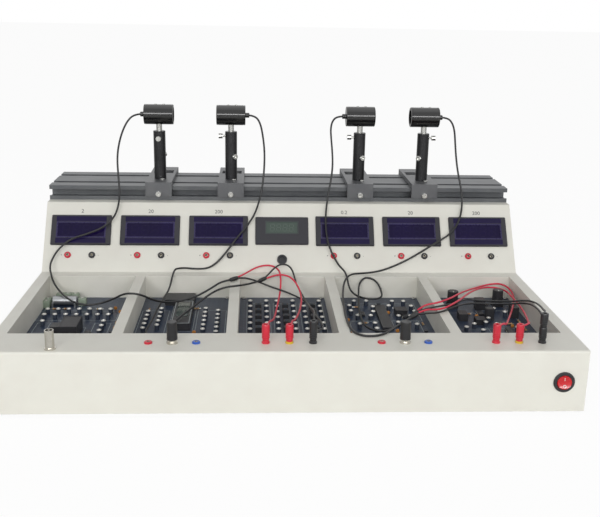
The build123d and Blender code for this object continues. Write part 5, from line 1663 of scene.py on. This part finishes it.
@dataclass
class Boards:
    """Caps, screws, printed outlines and small components on the five sunken boards."""

    point_height: float = 6.0
    trimmer_height: float = 9.0
    leg_pitch: float = 2.54
    leg_side: float = 3.6
    terminal_height: float = 9.5
    inset: float = 5.0
    width: float = 112.4
    first: float = 54.0
    last: float = 264.0

    def build(self) -> None:
        """Fit out every board."""
        self.cap_points()
        self.screw_corners()
        self.print_outlines()
        self.solder_resistors()
        self.solder_chips()
        self.solder_capacitors()
        self.mark_blocks()
        self.add_terminals()
        self.point_knobs()

    @staticmethod
    def at(board: int, across: float, depth: float, up: float = 0.0) -> Vector:
        """Point over a board.

        Args:
            board: Which board, from the left.
            across: Millimetres to the right of the board's middle.
            depth: Millimetres behind the front face.
            up: Millimetres above the board.

        Returns:
            The point in the frame.
        """
        return Vector((WELL_X[board] + across * MM, FRONT_Y + depth * MM, BOARD_Z + up * MM))

    def cap_points(self) -> None:
        """Put a bright eyelet on every test point."""
        profile = ((2.3, -0.4), (2.85, 0.0), (2.85, 0.7), (2.5, 1.05), (1.3, 1.05), (1.05, 0.4))
        cap = turned("point_cap", profile, 12)
        for board, points in enumerate(TEST_POINTS):
            caps = [copy_to(cap, self.at(board, x, y, self.point_height)) for x, y in points]
            wear(join(f"point_caps_{board + 1}", caps), ROOT, EYELET)
        discard(cap)

    def screw_corners(self) -> None:
        """Screw each board down at its four corners."""
        screw = low_screw()
        side = self.width / 2 - self.inset
        heads = [
            copy_to(screw, self.at(board, x, y))
            for board in range(5)
            for x in (-side, side)
            for y in (self.first + self.inset, self.last - self.inset)
        ]
        discard(screw)
        wear(join("board_screws", heads), ROOT, STEEL)

    def print_outlines(self) -> None:
        """Print pale frames round the groups of each board."""
        frames = [
            self.outline(board, x, y, wide, deep)
            for board, rows in enumerate(OUTLINES)
            for x, y, wide, deep in rows
        ]
        wear(join("board_outlines", frames), ROOT, SILK)

    def outline(
        self, board: int, across: float, depth: float, wide: float, deep: float
    ) -> bpy.types.Object:
        """One printed frame.

        Args:
            board: Which board, from the left.
            across: Its middle, in millimetres from the board's middle.
            depth: Its middle, in millimetres from the front face.
            wide: Its width in millimetres.
            deep: Its depth in millimetres.

        Returns:
            The frame in place.
        """
        made = ring_plate("outline", wide, deep, 0.5, 0.06)
        set_down(made, self.at(board, across, depth, 0.02))
        return made

    def solder_resistors(self) -> None:
        """Lay small resistors with their wires and colour bands."""
        body = turned(
            "resistor",
            ((0.6, -3.3), (1.2, -2.9), (1.25, -2.1), (0.98, -1.6), (0.98, 1.6), (1.25, 2.1),
             (1.2, 2.9), (0.6, 3.3)),
            12,
        )
        band = turned("band", ((1.0, -0.3), (1.06, -0.25), (1.06, 0.25), (1.0, 0.3)), 12)
        wire = turned("wire", ((0.25, -5.2), (0.32, -5.0), (0.32, 5.0), (0.25, 5.2)), 8)
        bodies, bands, wires = [], [], []
        for board, rows in enumerate(RESISTORS):
            for x, y, along in rows:
                turn = Euler((0, math.pi / 2, 0)) if along else Euler((math.pi / 2, 0, 0))
                middle = self.at(board, x, y, 1.4)
                step = Vector((MM, 0, 0)) if along else Vector((0, MM, 0))
                bodies.append(copy_to(body, middle, turn))
                wires.append(copy_to(wire, middle, turn))
                bands += [copy_to(band, middle + step * k, turn) for k in (-1.1, 0.0, 1.1)]
        for pattern in (body, band, wire):
            discard(pattern)
        wear(join("resistors", bodies), ROOT, RESISTOR_TAN)
        wear(join("resistor_bands", bands), ROOT, RESISTOR_BAND)
        wear(join("resistor_wires", wires), ROOT, STEEL)

    def solder_chips(self) -> None:
        """Set dual-row chips with their legs."""
        bodies, legs = [], []
        leg = slab("leg", 0.9, 1.2, 2.0, 0.12)
        for board, rows in enumerate(CHIPS):
            for x, y, pins in rows:
                length = pins / 2 * self.leg_pitch + 1.2
                chip = slab("chip", 6.4, length, 3.2, 0.35)
                set_down(chip, self.at(board, x, y, 0.6))
                bodies.append(chip)
                for place in range(pins // 2):
                    along = (place - (pins / 2 - 1) / 2) * self.leg_pitch
                    legs += [
                        copy_to(leg, self.at(board, x + side, y + along))
                        for side in (-self.leg_side, self.leg_side)
                    ]
        discard(leg)
        wear(join("chips", bodies), ROOT, BLACK_ABS)
        wear(join("chip_legs", legs), ROOT, NICKEL)

    def solder_capacitors(self) -> None:
        """Stand round and disc capacitors."""
        can = turned(
            "can",
            ((2.0, 0.0), (2.5, 0.3), (2.5, 0.9), (2.3, 1.1), (2.5, 1.4), (2.5, 4.4), (2.2, 4.7),
             (1.8, 4.6)),
            16,
        )
        cans = [
            copy_to(can, self.at(board, x, y))
            for board, rows in enumerate(CANS)
            for x, y in rows
        ]
        discard(can)
        wear(join("capacitor_cans", cans), ROOT, CAN_SLEEVE)
        disc = turned("disc", ((1.2, -0.9), (2.1, -0.6), (2.4, 0.0), (2.1, 0.6), (1.2, 0.9)), 14)
        discs = [
            copy_to(disc, self.at(board, x, y, 2.7), Euler((math.pi / 2, 0, 0)))
            for board, rows in enumerate(DISCS)
            for x, y in rows
        ]
        discard(disc)
        wear(join("capacitor_discs", discs), ROOT, DISC_OCHRE)

    def mark_blocks(self) -> None:
        """Finish the tops of the larger modules: frame and glass, a rim and the adjusters."""
        frame = ring_plate("display_frame", 21.5, 82.0, 0.7, 0.15)
        set_down(frame, self.at(1, -1.5, 182.5, 9.0))
        window = slab("display_glass", 15.0, 52.0, 0.25, 0.1)
        set_down(window, self.at(1, -1.5, 192.0, 9.0))
        wear(frame, ROOT, SILK)
        wear(window, ROOT, GLASS_GREEN)
        lid = ring_plate("relay_rim", 19.6, 36.6, 0.9, 0.3)
        set_down(lid, self.at(0, -3.5, 129.0, 16.0))
        wear(lid, ROOT, BLACK_ABS)
        heads = []
        profile = ((2.6, 0.0), (2.6, 0.5), (2.3, 0.8), (0.9, 0.8), (0.8, 0.3))
        head = turned("trimmer_head", profile, 14)
        for group in (-1, 0, 1):
            for row in range(1, 6):
                across = GRID_PITCH * group + GRID_SHIFT
                depth = GRID_LAST - GRID_ROW * row
                heads.append(copy_to(head, self.at(2, across, depth, self.trimmer_height)))
        discard(head)
        wear(join("trimmer_heads", heads), ROOT, TRIMMER_BLUE)

    def add_terminals(self) -> None:
        """Set screw terminals round the metal module of the first board."""
        block = slab("terminal", 9.6, 9.0, self.terminal_height, 0.6)
        screw = turned("terminal_screw", ((1.9, -0.3), (1.9, 0.35), (1.6, 0.6), (0.4, 0.6)), 14)
        low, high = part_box("metal_module")
        left, right = low.x / MM - 7.0, high.x / MM + 7.0
        back, middle = high.y / MM + 6.5, (low.y + high.y) / 2 / MM
        spots = [(left, middle), (right, middle), (left, middle - 9.6)]
        spots += [(low.x / MM + 5.0 + 9.8 * n, back) for n in range(3)]
        blocks, screws = [], []
        for x, y in spots:
            place = Vector((x * MM, y * MM, BOARD_Z))
            blocks.append(copy_to(block, place))
            screws.append(copy_to(screw, place + Vector((0, 0, self.terminal_height * MM))))
        discard(block)
        discard(screw)
        wear(join("terminal_blocks", blocks), ROOT, TERMINAL)
        wear(join("terminal_screws", screws), ROOT, STEEL)

    def point_knobs(self) -> None:
        """Inlay a white line in the top of each adjusting knob."""
        for side in ("left", "right"):
            node = f"trim_knob_{side}"
            low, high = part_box(node)
            middle = (low + high) / 2
            line = slab(f"pointer_{side}", 0.9, 4.6, 0.3, 0.08)
            set_down(line, Vector((middle.x, middle.y - 3.0 * MM, high.z - 0.2 * MM)))
            wear(line, node, POINTER)


@dataclass
class Rail:
    """Small fittings of the slide rail and its carriages."""

    plate_z: float = 0.182
    screw_depth: float = 0.3655
    screw_aside: float = 0.004

    def build(self) -> None:
        """Put a low screw on each carriage plate, in front of its post."""
        screw = low_screw()
        for n, across in enumerate(POST_X, 1):
            place = Vector((across + self.screw_aside, FRONT_Y + self.screw_depth, self.plate_z))
            made = copy_to(screw, place)
            made.name = f"plate_screw_{n}"
            wear(made, f"carriage_{n}", STEEL)
        discard(screw)


def low_screw() -> bpy.types.Object:
    """Low cap screw with a hexagon socket, standing on the origin."""
    return turned(
        "low_screw",
        ((2.6, 0.0), (2.75, 0.3), (2.75, 1.5), (2.4, 2.0), (1.35, 2.0), (1.2, 1.8), (1.2, 0.9)),
        24,
    )


@dataclass
class Heads:
    """Set screws and lenses of the four sensor heads."""

    radius: float = 13.75
    sides: tuple[int, ...] = (-1, 1, -1, 1)
    screw_places: tuple[float, float] = (-0.004, 0.007)
    lens_seat: float = 8.0

    def build(self) -> None:
        """Fit each head's screws and lens."""
        screw = turned(
            "set_screw",
            ((1.7, -1.2), (1.7, 0.5), (1.5, 0.7), (0.95, 0.7), (0.85, 0.6), (0.85, 0.0)),
            18,
        )
        lens = turned("lens", ((6.8, 0.0), (6.8, 1.4), (5.6, 2.3), (3.6, 3.0), (1.4, 3.35)), 28)
        for n, across in enumerate(POST_X, 1):
            middle = Vector((across, FRONT_Y + POST_DEPTH, BARREL_Z))
            screws = [
                copy_to(screw, middle + Vector((along, 0, self.radius * MM)))
                for along in self.screw_places
            ]
            wear(join(f"head_screws_{n}", screws), f"head_{n}", STEEL)
            side = -self.sides[n - 1]
            seat = middle + Vector((side * self.lens_seat * MM, 0, 0))
            made = copy_to(lens, seat, Euler((0, side * math.pi / 2, 0)))
            made.name = f"head_lens_{n}"
            wear(made, f"head_{n}", LENS)
        discard(screw)
        discard(lens)


@dataclass
class Rear:
    """Fittings of the rear plate."""

    columns: tuple[float, ...] = (-0.310, -0.155, 0.0, 0.155, 0.310)
    edge: float = 0.008

    def build(self) -> None:
        """Screw the rear plate to the cabinet."""
        low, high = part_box("rear_panel")
        screw = low_screw()
        heads = [
            copy_to(screw, Vector((x, high.y, z)), Euler((-math.pi / 2, 0, 0)))
            for x in self.columns
            for z in (low.z + self.edge, high.z - self.edge)
        ]
        discard(screw)
        wear(join("rear_screws", heads), ROOT, STEEL)


def dress_nodes(nodes: dict[str, bpy.types.Object]) -> None:
    """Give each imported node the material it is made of.

    Args:
        nodes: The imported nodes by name.
    """
    for name, finish in FINISHES.items():
        node = nodes[name]
        if not node.material_slots:
            node.data.materials.append(finish.material())
        for place in node.material_slots:
            place.material = finish.material()
    log.info("dressed %d nodes", len(FINISHES))


def main() -> None:
    """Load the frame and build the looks."""
    logging.basicConfig(level=logging.INFO, format="%(message)s")
    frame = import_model()
    bpy.context.scene.view_settings.view_transform = "Standard"
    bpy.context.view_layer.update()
    Studio().build()
    Wiring().build()
    for part in (Meters(), Panel(), Boards(), Ledge(), Rail(), Heads(), Rear()):
        part.build()
        log.info("built %s", type(part).__name__.lower())
    dress_nodes(frame["nodes"])


if __name__ == "__main__":
    main()
